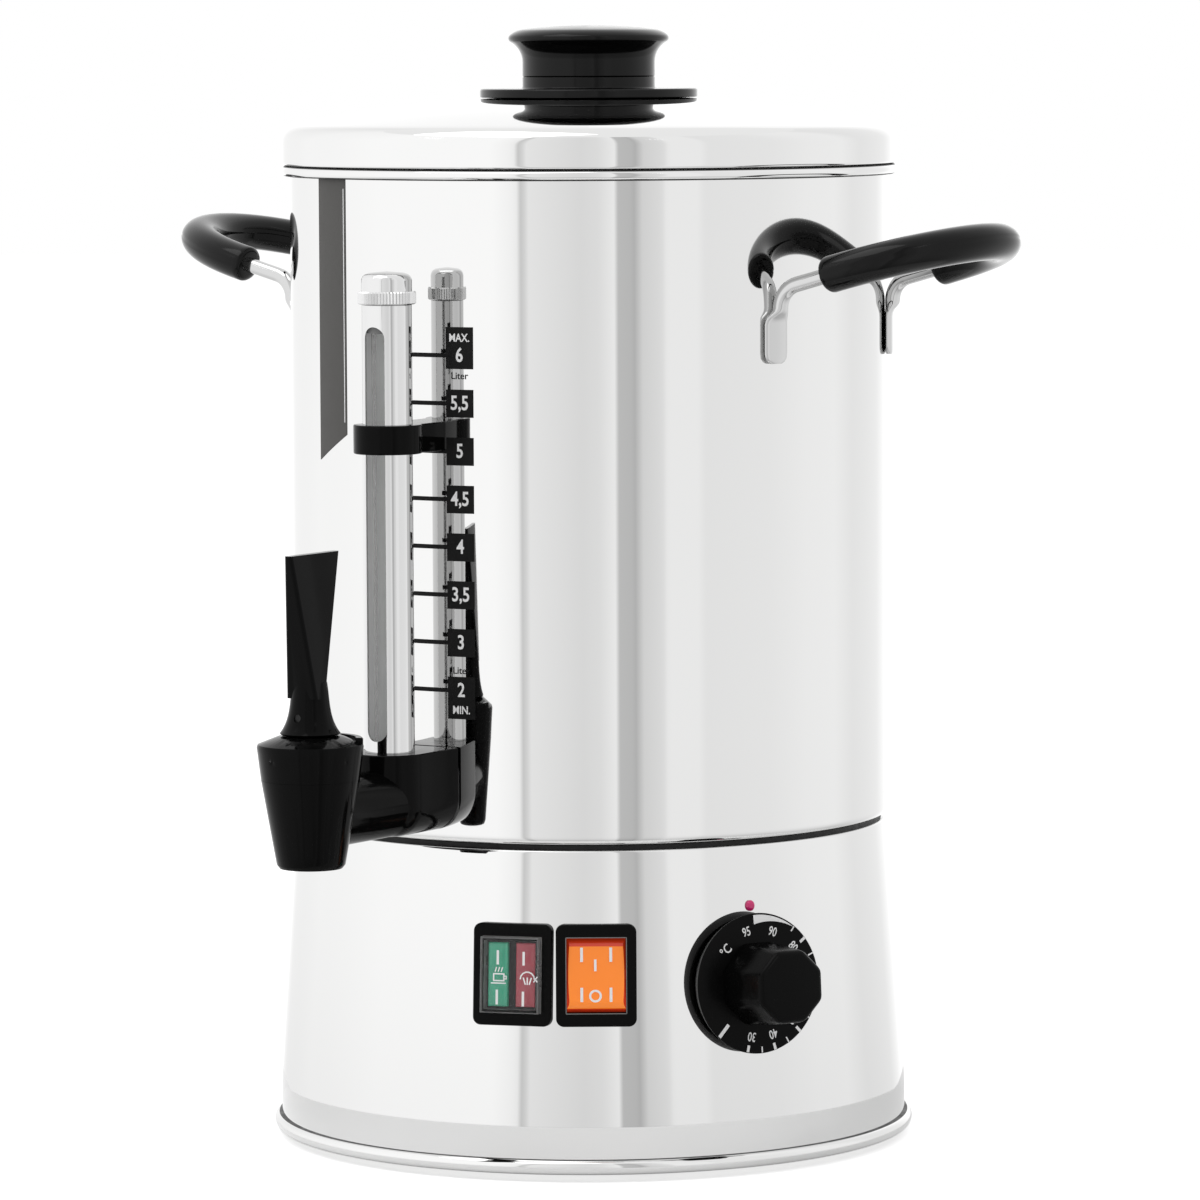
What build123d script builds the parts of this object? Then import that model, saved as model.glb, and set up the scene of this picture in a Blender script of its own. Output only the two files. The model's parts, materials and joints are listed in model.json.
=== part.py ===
from build123d import *
from math import atan, cos, degrees, pi, radians, sin, sqrt
import os

# A six-litre hot water urn, in millimetres. +Z is up and -Y is the front, where the tap is.
# The origin is on the tank's axis, in the plane that the rubber feet stand on.
# Angles round the body are counted from the front, towards +X.

# ---- driving dimensions -------------------------------------------------------------------
SHEET = 0.8  # stainless sheet
TOUCH = 0.05  # gap left where one loose piece rests on another

TANK_RADIUS = 100.0  # outside of the tank wall
SEAM_Z = 108.3  # lower edge of the tank wall
SEAM_TURN = 2.6  # radius of the turned-in lower edge
RIM_BEAD_RADIUS = 1.8
RIM_Z = 323.8  # centre of the rolled rim
FLOOR_Z = 109.8  # underside of the tank floor
NECK_RADIUS = 97.2  # outside of the ring that joins tank and base

BASE_TOP_Z = 106.9
BASE_TOP_RADIUS = 99.2
BASE_FOOT_Z = 7.4
BASE_FOOT_RADIUS = 105.8
FOOT_BEAD_RADIUS = 2.5
FOOT_BEAD_CENTRE = (105.15, 4.9)
PLATE_Z = 2.0  # underside of the bottom plate
PLATE_RADIUS = 102.3
FOOT_HEIGHT = 7.2
FOOT_RADIUS = 9.0
FOOT_CIRCLE = 80.0
FOOT_ANGLES = (45, 135, 225, 315)

LID_RADIUS = 102.7
LID_EDGE_Z = 325.65
LID_APEX_Z = 348.8
LID_DOME = 500.0  # radius of the shallow dome
LID_CORNER = 5.5
COLLAR_RADIUS = 98.8

KNOB_FLANGE_RADIUS = 36.3
KNOB_FLANGE_TOP = 350.7
KNOB_NECK_RADIUS = 22.1
KNOB_JOINT_Z = 354.6
KNOB_HEAD_RADIUS = 26.9
KNOB_TOP_Z = 371.7

HANDLE_ARC = 36.4  # radius of the grip's half circle
HANDLE_CENTRE = (116.0, 292.0)  # distance from the axis, and height
HANDLE_RISE = 15.1  # degrees that the bow rises outwards
GRIP_BACK = 2.7  # that the grip reaches back along the rod from its half circle
ROD_RADIUS = 2.5
TAB_BOTTOM = 262.6
TAB_TOP = 283.0
TAB_WIDTH = 7.4
TAB_THICK = 2.4

TAP_Z = 123.4  # axis of the water way through the tank wall
VALVE_Y = -165.5  # axis of the tap's valve
GAUGE_Y = -120.8  # axis of the level gauge
BLOCK_HALF = 12.5
BLOCK_TOP = 139.6
PIPE_RADIUS = 11.0
BONNET_Z = 135.1  # joint between the tap's cup and its bonnet
BONNET_TOP = 149.0
SEAT_Z = 112.5
PIN_Z = 155.0  # lever pin

TUBE_RADIUS = 8.0
TUBE_TOP = 283.1
SLOT_WIDTH = 7.5
SLOT_LOW = 143.5
SLOT_HIGH = 276.1
GLASS_RADIUS = 5.0
GLASS_TOP = 280.0

PANEL_Z = 66.9  # centre height of the switch and the indicator
BEZEL = (26.0, 33.0)
CUTOUT = (22.2, 29.4)
INDICATOR_ANGLE = 17.9
SWITCH_ANGLE = 33.0
THERMOSTAT_ANGLE = 62.3
THERMOSTAT_Z = 62.4
DIAL_RADIUS = 23.0
ROCKER_PIVOT = -3.2  # depth of the rocker's pivot behind the panel's surface
ROCKER_TILT = 8.0
GLAND_ANGLE = 180.0
GLAND_Z = 32.0
CORD_RADIUS = 3.6  # free way for a 7 mm mains lead

os.makedirs("parts", exist_ok=True)

FLARE = degrees(atan((BASE_FOOT_RADIUS - BASE_TOP_RADIUS) / (BASE_TOP_Z - BASE_FOOT_Z)))


# ---- places -------------------------------------------------------------------------------
def base_radius(height):
    """Outside radius of the conical base at a height."""
    share = (BASE_TOP_Z - height) / (BASE_TOP_Z - BASE_FOOT_Z)
    return BASE_TOP_RADIUS + share * (BASE_FOOT_RADIUS - BASE_TOP_RADIUS)


def facing_out(angle, radius, height, tilt=0.0):
    """A plane that looks away from the axis: x to the right as seen from outside, y up."""
    a, t = radians(angle), radians(tilt)
    away = (sin(a) * cos(t), -cos(a) * cos(t), sin(t))
    return Plane(
        origin=(radius * sin(a), -radius * cos(a), height), x_dir=(cos(a), sin(a), 0), z_dir=away
    )


def on_base(angle, height, lift=0.0):
    """A plane that lies on the base's cone, raised from it by lift."""
    return facing_out(angle, base_radius(height), height, FLARE).offset(lift)


def crown_radius(half_width, height):
    """Radius of a shallow crown that is level on the axis."""
    return (half_width**2 + height**2) / (2 * height)


def dome_z(radius, drop=0.0):
    """Height of the lid's dome at a radius, or of the surface a drop below it."""
    dome = LID_DOME - drop
    return LID_APEX_Z - LID_DOME + sqrt(dome * dome - radius * radius)


INDICATOR = on_base(INDICATOR_ANGLE, PANEL_Z)
SWITCH = on_base(SWITCH_ANGLE, PANEL_Z)
THERMOSTAT = on_base(THERMOSTAT_ANGLE, THERMOSTAT_Z)
GLAND = on_base(GLAND_ANGLE, GLAND_Z)
FEET = [
    (FOOT_CIRCLE * sin(radians(a)), -FOOT_CIRCLE * cos(radians(a))) for a in FOOT_ANGLES
]

# Solid of the base's outside: flat-backed fittings are cut to it so that they sit on the cone.
with BuildPart() as base_outside:
    with BuildSketch(Plane.XZ):
        Polygon(
            (0, 0),
            (base_radius(0) + TOUCH, 0),
            (base_radius(BASE_TOP_Z) + TOUCH, BASE_TOP_Z),
            (0, BASE_TOP_Z),
            align=None,
        )
    revolve(axis=Axis.Z)

# ---- tank ---------------------------------------------------------------------------------
SHANK_RADIUS = 8.3
SHANK_HOLE = 8.5

with BuildPart() as tank_shell:
    with BuildSketch(Plane.XZ):
        with BuildLine():
            FilletPolyline(
                (NECK_RADIUS, SEAM_Z), (TANK_RADIUS, SEAM_Z), (TANK_RADIUS, RIM_Z), radius=SEAM_TURN
            )
            offset(amount=SHEET, side=Side.LEFT)
        make_face()
        with Locations((TANK_RADIUS + SHEET + 0.1, RIM_Z)):
            Circle(RIM_BEAD_RADIUS)
    revolve(axis=Axis.Z)
    with BuildSketch(facing_out(0, TANK_RADIUS + 5, TAP_Z)):
        Circle(SHANK_HOLE)
    extrude(amount=-12, mode=Mode.SUBTRACT)
tank_shell.part.label = "tank_shell"
export_step(tank_shell.part, "parts/tank_shell.step")

with BuildPart() as tank_floor:
    with BuildSketch(Plane.XZ):
        with BuildLine():
            FilletPolyline(
                (0, FLOOR_Z),
                (TANK_RADIUS - SHEET, FLOOR_Z),
                (TANK_RADIUS - SHEET, FLOOR_Z + 2.6),
                radius=2.0,
            )
            offset(amount=SHEET, side=Side.LEFT)
        make_face()
    revolve(axis=Axis.Z)
tank_floor.part.label = "tank_floor"
export_step(tank_floor.part, "parts/tank_floor.step")

with BuildPart() as neck_ring:
    with BuildSketch(Plane.XZ):
        with BuildLine():
            Polyline(
                (NECK_RADIUS - SHEET, 97.0),
                (NECK_RADIUS, 97.0),
                (NECK_RADIUS, FLOOR_Z),
                (NECK_RADIUS - 6, FLOOR_Z),
                (NECK_RADIUS - 6, FLOOR_Z - SHEET),
                (NECK_RADIUS - SHEET, FLOOR_Z - SHEET),
                close=True,
            )
        make_face()
    revolve(axis=Axis.Z)
neck_ring.part.label = "neck_ring"
export_step(neck_ring.part, "parts/neck_ring.step")

# ---- base ---------------------------------------------------------------------------------
INDEX_SPOT = (0.9, DIAL_RADIUS + 1.9)  # place of the index from the dial's centre
THERMOSTAT_SCREWS = ((-14, 0), (14, 0))
BLOCK_ANGLE = 150.0
BLOCK_Z = 48.0
EARTH_ANGLE = 205.0

with BuildPart() as base_shell:
    with BuildSketch(Plane.XZ):
        with BuildLine():
            FilletPolyline(
                (base_radius(FOOT_BEAD_CENTRE[1]), FOOT_BEAD_CENTRE[1]),
                (base_radius(BASE_TOP_Z), BASE_TOP_Z),
                (NECK_RADIUS, BASE_TOP_Z),
                (NECK_RADIUS, 99.0),
                radius=0.95,
            )
            offset(amount=SHEET, side=Side.LEFT)
        make_face()
        with Locations(FOOT_BEAD_CENTRE):
            Circle(FOOT_BEAD_RADIUS)
    revolve(axis=Axis.Z)
    for panel in (INDICATOR, SWITCH):
        with BuildSketch(panel.offset(5)):
            Rectangle(*CUTOUT)
        extrude(amount=-12, mode=Mode.SUBTRACT)
    with BuildSketch(THERMOSTAT.offset(5)):
        Circle(5.5)
        with Locations(*THERMOSTAT_SCREWS):
            Circle(2.1)
        with Locations(INDEX_SPOT):
            Circle(1.0)
    extrude(amount=-12, mode=Mode.SUBTRACT)
    with BuildSketch(GLAND.offset(5)):
        Circle(8.2)
    extrude(amount=-12, mode=Mode.SUBTRACT)
base_shell.part.label = "base_shell"
export_step(base_shell.part, "parts/base_shell.step")

RECESS_RADIUS = 11.0
with BuildPart() as base_plate:
    with BuildSketch(Plane.XY.offset(PLATE_Z)):
        Circle(PLATE_RADIUS)
    extrude(amount=SHEET)
    with BuildSketch(Plane.XY.offset(PLATE_Z)):
        with Locations(*FEET):
            Circle(RECESS_RADIUS + SHEET)
    extrude(amount=FOOT_HEIGHT + SHEET - PLATE_Z)
    with BuildSketch(Plane.XY.offset(PLATE_Z)):
        with Locations(*FEET):
            Circle(RECESS_RADIUS)
    extrude(amount=FOOT_HEIGHT - PLATE_Z, mode=Mode.SUBTRACT)
    with BuildSketch(Plane.XY):
        with Locations(*FEET):
            Circle(2.2)
        with PolarLocations(38, 8):
            SlotOverall(16, 4)
        with PolarLocations(60, 12, start_angle=15):
            SlotOverall(14, 4)
    extrude(amount=12, mode=Mode.SUBTRACT)
base_plate.part.label = "base_plate"
export_step(base_plate.part, "parts/base_plate.step")

HEAD_LOW = 1.0  # the screw heads stay clear of the table
HEAD_HIGH = 3.2
with BuildPart() as rubber_feet:
    with BuildSketch(Plane.XY):
        with Locations(*FEET):
            Circle(FOOT_RADIUS)
    extrude(amount=FOOT_HEIGHT)
    fillet(rubber_feet.faces().filter_by(Axis.Z).group_by(Axis.Z)[0].edges(), radius=0.8)
    with BuildSketch(Plane.XY):
        with Locations(*FEET):
            Circle(4.8)
    extrude(amount=HEAD_HIGH, mode=Mode.SUBTRACT)
    with BuildSketch(Plane.XY):
        with Locations(*FEET):
            Circle(2.2)
    extrude(amount=FOOT_HEIGHT, mode=Mode.SUBTRACT)
rubber_feet.part.label = "rubber_feet"
export_step(rubber_feet.part, "parts/rubber_feet.step")

BRACKET_LOW = FOOT_HEIGHT + SHEET
BRACKET_THICK = 2.0
with BuildPart() as base_brackets:
    for foot_angle in FOOT_ANGLES:
        corner = facing_out(foot_angle, 0, BRACKET_LOW)
        with BuildSketch(Plane(origin=corner.origin, x_dir=corner.x_dir, z_dir=(0, 0, 1))):
            with Locations((0, -87.6)):
                Rectangle(14, 32)
        extrude(amount=BRACKET_THICK)
        upright = facing_out(
            foot_angle, base_radius(BRACKET_LOW) - SHEET - 0.26, BRACKET_LOW, FLARE
        )
        with BuildSketch(upright):
            with Locations((0, 9)):
                Rectangle(14, 18)
        extrude(amount=-BRACKET_THICK)
    with BuildSketch(Plane.XY.offset(BRACKET_LOW)):
        with Locations(*FEET):
            Circle(2.0)
    extrude(amount=BRACKET_THICK, mode=Mode.SUBTRACT)
base_brackets.part.label = "base_brackets"
export_step(base_brackets.part, "parts/base_brackets.step")

with BuildPart() as base_screws:
    with BuildSketch(Plane.XY.offset(HEAD_LOW)):
        with Locations(*FEET):
            Circle(4.2)
    extrude(amount=HEAD_HIGH - HEAD_LOW)
    with BuildSketch(Plane.XY.offset(HEAD_LOW)):
        with Locations(*FEET):
            Circle(2.0)
    extrude(amount=15)
    with BuildSketch(Plane.XY.offset(HEAD_LOW)):
        with Locations(*FEET):
            Rectangle(4.6, 1.0)
            Rectangle(1.0, 4.6)
    extrude(amount=1.2, mode=Mode.SUBTRACT)
base_screws.part.label = "base_screws"
export_step(base_screws.part, "parts/base_screws.step")

# ---- heating ------------------------------------------------------------------------------
HEATER_LOW = FLOOR_Z - 5.0
ELEMENT_RADIUS = 4.2
ELEMENT_RING = 54.0
ELEMENT_Z = HEATER_LOW - ELEMENT_RADIUS - TOUCH
ELEMENT_GAP = 16.0  # half the angle left open between the element's ends
ELEMENT_LEGS = 14.0

CUTOUT_AT = (0, -30)
CUTOUT_SCREWS = ((-12, -30), (12, -30))
BULB_AT = (30.0, HEATER_LOW - 2.6)  # across and height of the sensor's bulb

with BuildPart() as heater_plate:
    with BuildSketch(Plane.XY.offset(HEATER_LOW)):
        Circle(76)
        Circle(16, mode=Mode.SUBTRACT)
    extrude(amount=FLOOR_Z - HEATER_LOW)
    with BuildSketch(Plane.XZ.offset(14)):
        with Locations((BULB_AT[0], HEATER_LOW - 2.4)):
            RectangleRounded(10, 8, 1.5)
    extrude(amount=-34)
    with BuildSketch(Plane.XZ.offset(20)):
        with Locations(BULB_AT):
            Circle(3.1)
    extrude(amount=-50, mode=Mode.SUBTRACT)
    with BuildSketch(Plane.XY.offset(HEATER_LOW)):
        with Locations(*CUTOUT_SCREWS):
            Circle(1.5)
    extrude(amount=3, mode=Mode.SUBTRACT)
heater_plate.part.label = "heater_plate"
export_step(heater_plate.part, "parts/heater_plate.step")

with BuildPart() as heating_element:
    with BuildLine() as element_path:
        ring = CenterArc(
            (0, 0, ELEMENT_Z), ELEMENT_RING, 90 + ELEMENT_GAP, 360 - 2 * ELEMENT_GAP
        )
        bend = 9.0
        first_bend = TangentArc(
            ring @ 0, (ring @ 0) - (ring % 0) * bend - Vector(0, 0, bend), tangent=-(ring % 0)
        )
        last_bend = TangentArc(
            ring @ 1, (ring @ 1) + (ring % 1) * bend - Vector(0, 0, bend), tangent=ring % 1
        )
        Line(first_bend @ 1, (first_bend @ 1) - Vector(0, 0, ELEMENT_LEGS))
        Line(last_bend @ 1, (last_bend @ 1) - Vector(0, 0, ELEMENT_LEGS))
        element_ends = (first_bend @ 1, last_bend @ 1)
    with BuildSketch(Plane(origin=ring @ 0.5, z_dir=ring % 0.5)):
        Circle(ELEMENT_RADIUS)
    sweep(path=element_path.wires()[0])
heating_element.part.label = "heating_element"
export_step(heating_element.part, "parts/heating_element.step")

with BuildPart() as thermal_cutout:
    with BuildSketch(Plane.XY.offset(HEATER_LOW - TOUCH)):
        with Locations(CUTOUT_AT):
            Circle(8)
    extrude(amount=-7)
    with BuildSketch(Plane.XY.offset(HEATER_LOW - TOUCH)):
        with Locations(CUTOUT_AT):
            SlotOverall(32, 10)
    extrude(amount=-1.0)
    with BuildSketch(Plane.XY.offset(HEATER_LOW)):
        with Locations(*CUTOUT_SCREWS):
            Circle(1.6)
    extrude(amount=-3, mode=Mode.SUBTRACT)
thermal_cutout.part.label = "thermal_cutout"
export_step(thermal_cutout.part, "parts/thermal_cutout.step")

with BuildPart() as cutout_screws:
    with BuildSketch(Plane.XY.offset(HEATER_LOW - TOUCH - 1.0)):
        with Locations(*CUTOUT_SCREWS):
            Circle(2.9)
    extrude(amount=-1.8)
    with BuildSketch(Plane.XY.offset(HEATER_LOW - TOUCH - 1.0)):
        with Locations(*CUTOUT_SCREWS):
            Circle(1.5)
    extrude(amount=3.8)
cutout_screws.part.label = "cutout_screws"
export_step(cutout_screws.part, "parts/cutout_screws.step")

# ---- thermostat: body, shaft and dial -------------------------------------------------------
SHAFT_RADIUS = 3.0
RUNNING = 0.06  # radial clearance of a part that turns or slides in another
DIAL_BACK = 0.8  # the dial's skirt stands this far off the panel at its middle
DIAL_TOP = 5.4
DIAL_DISH = 1.8  # the dial is this much smaller in radius at its back
HUB_TOP = 26.2
HUB_ACROSS = 26.4  # across the flats of the eight-sided hub, at its root
HUB_DRAFT = 4.4

with BuildPart() as thermostat_body:
    with BuildSketch(THERMOSTAT.offset(-30)):
        RectangleRounded(30, 38, 3)
    extrude(amount=26)
    with BuildSketch(THERMOSTAT.offset(-4)):
        Rectangle(34, 18)
    extrude(amount=1.0)
    with BuildSketch(THERMOSTAT.offset(-4)):
        Circle(4.8)
    extrude(amount=4.0)
    with BuildSketch(THERMOSTAT):
        Circle(SHAFT_RADIUS + RUNNING)
    extrude(amount=-16, mode=Mode.SUBTRACT)
    with BuildSketch(THERMOSTAT):
        with Locations(*THERMOSTAT_SCREWS):
            Circle(2.0)
    extrude(amount=-10, mode=Mode.SUBTRACT)
thermostat_body.part.label = "thermostat_body"
export_step(thermostat_body.part, "parts/thermostat_body.step")

with BuildPart() as thermostat_shaft:
    with BuildSketch(THERMOSTAT.offset(-14)):
        Circle(SHAFT_RADIUS)
    extrude(amount=HUB_TOP + 14 - 5)
thermostat_shaft.part.label = "thermostat_shaft"
export_step(thermostat_shaft.part, "parts/thermostat_shaft.step")

with BuildPart() as thermostat_screws:
    for x, y in THERMOSTAT_SCREWS:
        with BuildSketch(THERMOSTAT.offset(-9)):
            with Locations((x, y)):
                Circle(2.0)
        extrude(amount=9)
        with BuildSketch(THERMOSTAT.offset(-0.5)):
            with Locations((x, y)):
                Circle(3.6)
        extrude(amount=2.0)
        with BuildSketch(THERMOSTAT.offset(1.5)):
            with Locations((x, y)):
                Rectangle(5, 0.9)
        extrude(amount=-1.0, mode=Mode.SUBTRACT)
thermostat_screws.part.label = "thermostat_screws"
export_step(thermostat_screws.part, "parts/thermostat_screws.step")

with BuildPart() as thermostat_knob:
    with BuildSketch(THERMOSTAT.offset(DIAL_BACK)):
        Circle(DIAL_RADIUS - DIAL_DISH)
    dish_slope = degrees(atan(DIAL_DISH / (DIAL_TOP - DIAL_BACK)))
    extrude(amount=DIAL_TOP - DIAL_BACK, taper=-dish_slope)
    fillet(thermostat_knob.faces().filter_by(GeomType.PLANE).edges(), radius=0.8)
    with BuildSketch(THERMOSTAT.offset(DIAL_TOP)) as hub_outline:
        RegularPolygon(HUB_ACROSS / 2, 8, major_radius=False, rotation=22.5)
        fillet(hub_outline.vertices(), radius=1.5)
    extrude(amount=HUB_TOP - DIAL_TOP, taper=HUB_DRAFT)
    hub_face = thermostat_knob.faces().filter_by(GeomType.PLANE).sort_by(
        lambda f: (f.center() - THERMOSTAT.origin).dot(THERMOSTAT.z_dir)
    )[-1]
    fillet(hub_face.edges(), radius=1.0)
    with BuildSketch(THERMOSTAT.offset(DIAL_BACK)):
        Circle(DIAL_RADIUS - DIAL_DISH - 1.6)
        Circle(6.0, mode=Mode.SUBTRACT)
    extrude(amount=3.0, mode=Mode.SUBTRACT)
    with BuildSketch(THERMOSTAT.offset(DIAL_BACK)):
        Circle(SHAFT_RADIUS)
    extrude(amount=HUB_TOP - 5 - DIAL_BACK, mode=Mode.SUBTRACT)
thermostat_knob.part.label = "thermostat_knob"
export_step(thermostat_knob.part, "parts/thermostat_knob.step")

with BuildPart() as index_stud:
    with BuildSketch(THERMOSTAT.offset(-2)):
        with Locations(INDEX_SPOT):
            Circle(1.0)
    extrude(amount=2.5)
    with BuildSketch(THERMOSTAT.offset(TOUCH)):
        with Locations(INDEX_SPOT):
            Circle(1.35)
    extrude(amount=1.3)
    top_edge = index_stud.edges().filter_by(GeomType.CIRCLE).sort_by(
        lambda e: (e.center() - THERMOSTAT.origin).dot(THERMOSTAT.z_dir)
    )[-1]
    fillet(top_edge, radius=0.8)
index_stud.part.label = "index_stud"
export_step(index_stud.part, "parts/index_stud.step")

CAPILLARY = 0.9
with BuildPart() as thermostat_bulb:
    with BuildSketch(Plane.XZ.offset(18)):
        with Locations(BULB_AT):
            Circle(3.05)
    extrude(amount=-42)
    tube_start = THERMOSTAT.from_local_coords(Vector(0, 12, -30))
    with BuildLine():
        FilletPolyline(
            tube_start,
            tube_start + THERMOSTAT.z_dir * -12,
            (36, -28, 86),
            (BULB_AT[0], -28, 90),
            (BULB_AT[0], -28, BULB_AT[1]),
            (BULB_AT[0], -17, BULB_AT[1]),
            radius=3.0,
        )
    with BuildSketch(Plane(origin=tube_start, z_dir=-THERMOSTAT.z_dir)):
        Circle(CAPILLARY)
    sweep()
thermostat_bulb.part.label = "thermostat_bulb"
export_step(thermostat_bulb.part, "parts/thermostat_bulb.step")

# ---- rocker switch and twin indicator ---------------------------------------------------------
FRAME_PROUD = 2.4
BODY_DEPTH = 17.0
WINDOW = (19.6, 24.6)
CAVITY = (19.6, 27.0)
LENS = (6.5, 20.6)
LENS_SPREAD = 4.6  # each lens's distance from the middle
LENS_FRONT = 2.4
LENS_BACK = -7.0
MASK = (-1.0, 0.6)  # back and front of the web that holds the lenses
COVER_PROUD = 6.2  # the clear cover stands this far off the panel
COVER_WALL = 1.2
ROCKER_WIDTH = 19.0
ROCKER_REACH = 12.15  # radius of the rocker's ends about its pivot
AXLE_RADIUS = 1.6  # stub axles moulded on the rocker's sides

for panel, housing_name in ((SWITCH, "switch_housing"), (INDICATOR, "indicator_housing")):
    with BuildPart() as housing:
        with BuildSketch(panel.offset(-3)):
            RectangleRounded(*BEZEL, 2.6)
        extrude(amount=3 + FRAME_PROUD)
        fillet(
            housing.faces().filter_by(lambda f: f.center().Z > 0).sort_by(
                lambda f: (f.center() - panel.origin).dot(panel.z_dir)
            )[-1].edges(),
            radius=0.7,
        )
        add(base_outside.part, mode=Mode.SUBTRACT)
        with BuildSketch(panel.offset(-BODY_DEPTH)):
            Rectangle(CUTOUT[0] - 0.4, CUTOUT[1] - 0.4)
        extrude(amount=BODY_DEPTH + 0.6)
        is_switch = housing_name == "switch_housing"
        cavity_depth = BODY_DEPTH - 1.4 if is_switch else BODY_DEPTH - 1.4 + MASK[0]
        with BuildSketch(panel.offset(-BODY_DEPTH + 1.4)):
            Rectangle(*CAVITY)
        extrude(amount=cavity_depth, mode=Mode.SUBTRACT)
        with BuildSketch(panel.offset(-1 if is_switch else MASK[1])):
            Rectangle(*WINDOW)
        extrude(amount=6, mode=Mode.SUBTRACT)
        if not is_switch:
            with BuildSketch(panel.offset(MASK[0] - 1)):
                with Locations((-LENS_SPREAD, 0), (LENS_SPREAD, 0)):
                    Rectangle(*LENS)
            extrude(amount=4, mode=Mode.SUBTRACT)
        if is_switch:
            with BuildSketch(Plane(origin=panel.origin, x_dir=panel.y_dir, z_dir=panel.x_dir)):
                with Locations((0, ROCKER_PIVOT)):
                    Circle(AXLE_RADIUS + RUNNING)
            extrude(amount=(CUTOUT[0] - 0.4) / 2, both=True, mode=Mode.SUBTRACT)
    housing.part.label = housing_name
    export_step(housing.part, f"parts/{housing_name}.step")

# The rocker is drawn level and turned about its axles, so that its upper end is pressed in.
pivot_point = SWITCH.from_local_coords(Vector(0, 0, ROCKER_PIVOT))
tilt = radians(ROCKER_TILT)
rocker_out = SWITCH.z_dir * cos(tilt) + SWITCH.y_dir * sin(tilt)
ROCKER = Plane(origin=pivot_point, x_dir=SWITCH.x_dir, z_dir=rocker_out)
ROCKER_SIDE = Plane(origin=pivot_point, x_dir=ROCKER.y_dir, z_dir=ROCKER.x_dir)
FACE_RISE = 5.7
SHOULDER = (11.5, sqrt(ROCKER_REACH**2 - 11.5**2))

with BuildPart() as switch_rocker:
    with BuildSketch(ROCKER_SIDE):
        with BuildLine():
            ThreePointArc((-8.4, FACE_RISE), (0, FACE_RISE - 0.5), (8.4, FACE_RISE))
            ThreePointArc((8.4, FACE_RISE), (10.6, FACE_RISE - 0.55), SHOULDER)
            RadiusArc(SHOULDER, (ROCKER_REACH, 0), ROCKER_REACH)
            Line((ROCKER_REACH, 0), (ROCKER_REACH - 1.2, -1.5))
            Line((ROCKER_REACH - 1.2, -1.5), (3, -4.2))
            Line((3, -4.2), (-3, -4.2))
            Line((-3, -4.2), (-ROCKER_REACH + 1.2, -1.5))
            Line((-ROCKER_REACH + 1.2, -1.5), (-ROCKER_REACH, 0))
            RadiusArc((-ROCKER_REACH, 0), (-SHOULDER[0], SHOULDER[1]), ROCKER_REACH)
            ThreePointArc(
                (-SHOULDER[0], SHOULDER[1]), (-10.6, FACE_RISE - 0.55), (-8.4, FACE_RISE)
            )
        make_face()
    extrude(amount=ROCKER_WIDTH / 2, both=True)
    with BuildSketch(Plane(origin=pivot_point, x_dir=ROCKER.x_dir, z_dir=-ROCKER.y_dir)):
        Polygon(
            (-ROCKER_WIDTH / 2, -8),
            (ROCKER_WIDTH / 2, -8),
            (ROCKER_WIDTH / 2, 4.4),
            (8.3, 6.4),
            (-8.3, 6.4),
            (-ROCKER_WIDTH / 2, 4.4),
            align=None,
        )
    extrude(amount=20, both=True, mode=Mode.INTERSECT)
    with BuildSketch(ROCKER_SIDE):
        Circle(AXLE_RADIUS)
    extrude(amount=CUTOUT[0] / 2 - 0.3, both=True)
switch_rocker.part.label = "switch_rocker"
export_step(switch_rocker.part, "parts/switch_rocker.step")

with BuildPart() as indicator_cover:
    with BuildSketch(INDICATOR.offset(MASK[1])):
        Rectangle(WINDOW[0] - 0.1, WINDOW[1] - 0.1)
    extrude(amount=COVER_PROUD - MASK[1])
    outer = indicator_cover.faces().sort_by(
        lambda f: (f.center() - INDICATOR.origin).dot(INDICATOR.z_dir)
    )[-1]
    fillet(outer.edges(), radius=0.8)
    with BuildSketch(INDICATOR.offset(MASK[1])):
        Rectangle(WINDOW[0] - 2 * COVER_WALL, WINDOW[1] - 2 * COVER_WALL)
    extrude(amount=COVER_PROUD - MASK[1] - COVER_WALL, mode=Mode.SUBTRACT)
indicator_cover.part.label = "indicator_cover"
export_step(indicator_cover.part, "parts/indicator_cover.step")

for lens_name, lens_x in (
    ("indicator_green_lens", -LENS_SPREAD),
    ("indicator_red_lens", LENS_SPREAD),
):
    with BuildPart() as lens:
        with BuildSketch(INDICATOR.offset(LENS_BACK)):
            with Locations((lens_x, 0)):
                Rectangle(*LENS)
        extrude(amount=LENS_FRONT - LENS_BACK)
        fillet(
            lens.faces().sort_by(
                lambda f: (f.center() - INDICATOR.origin).dot(INDICATOR.z_dir)
            )[-1].edges(),
            radius=0.5,
        )
    lens.part.label = lens_name
    export_step(lens.part, f"parts/{lens_name}.step")

with BuildPart() as neon_lamps:
    with BuildSketch(INDICATOR.offset(-BODY_DEPTH + 1.4)):
        with Locations((-LENS_SPREAD, 0), (LENS_SPREAD, 0)):
            Circle(2.0)
    extrude(amount=8.0)
neon_lamps.part.label = "neon_lamps"
export_step(neon_lamps.part, "parts/neon_lamps.step")

# ---- mains entry and connections ---------------------------------------------------------------
GLAND_IN = -12.0
GLAND_OUT = 15.0
with BuildPart() as cable_gland:
    with BuildSketch(GLAND.offset(TOUCH)):
        RegularPolygon(11.0, 6)
    extrude(amount=5)
    with BuildSketch(GLAND.offset(GLAND_IN)):
        Circle(8.0)
    extrude(amount=5 - GLAND_IN)
    with BuildSketch(GLAND.offset(GLAND_IN)):
        Circle(CORD_RADIUS)
    extrude(amount=30, mode=Mode.SUBTRACT)
cable_gland.part.label = "cable_gland"
export_step(cable_gland.part, "parts/cable_gland.step")

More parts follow.
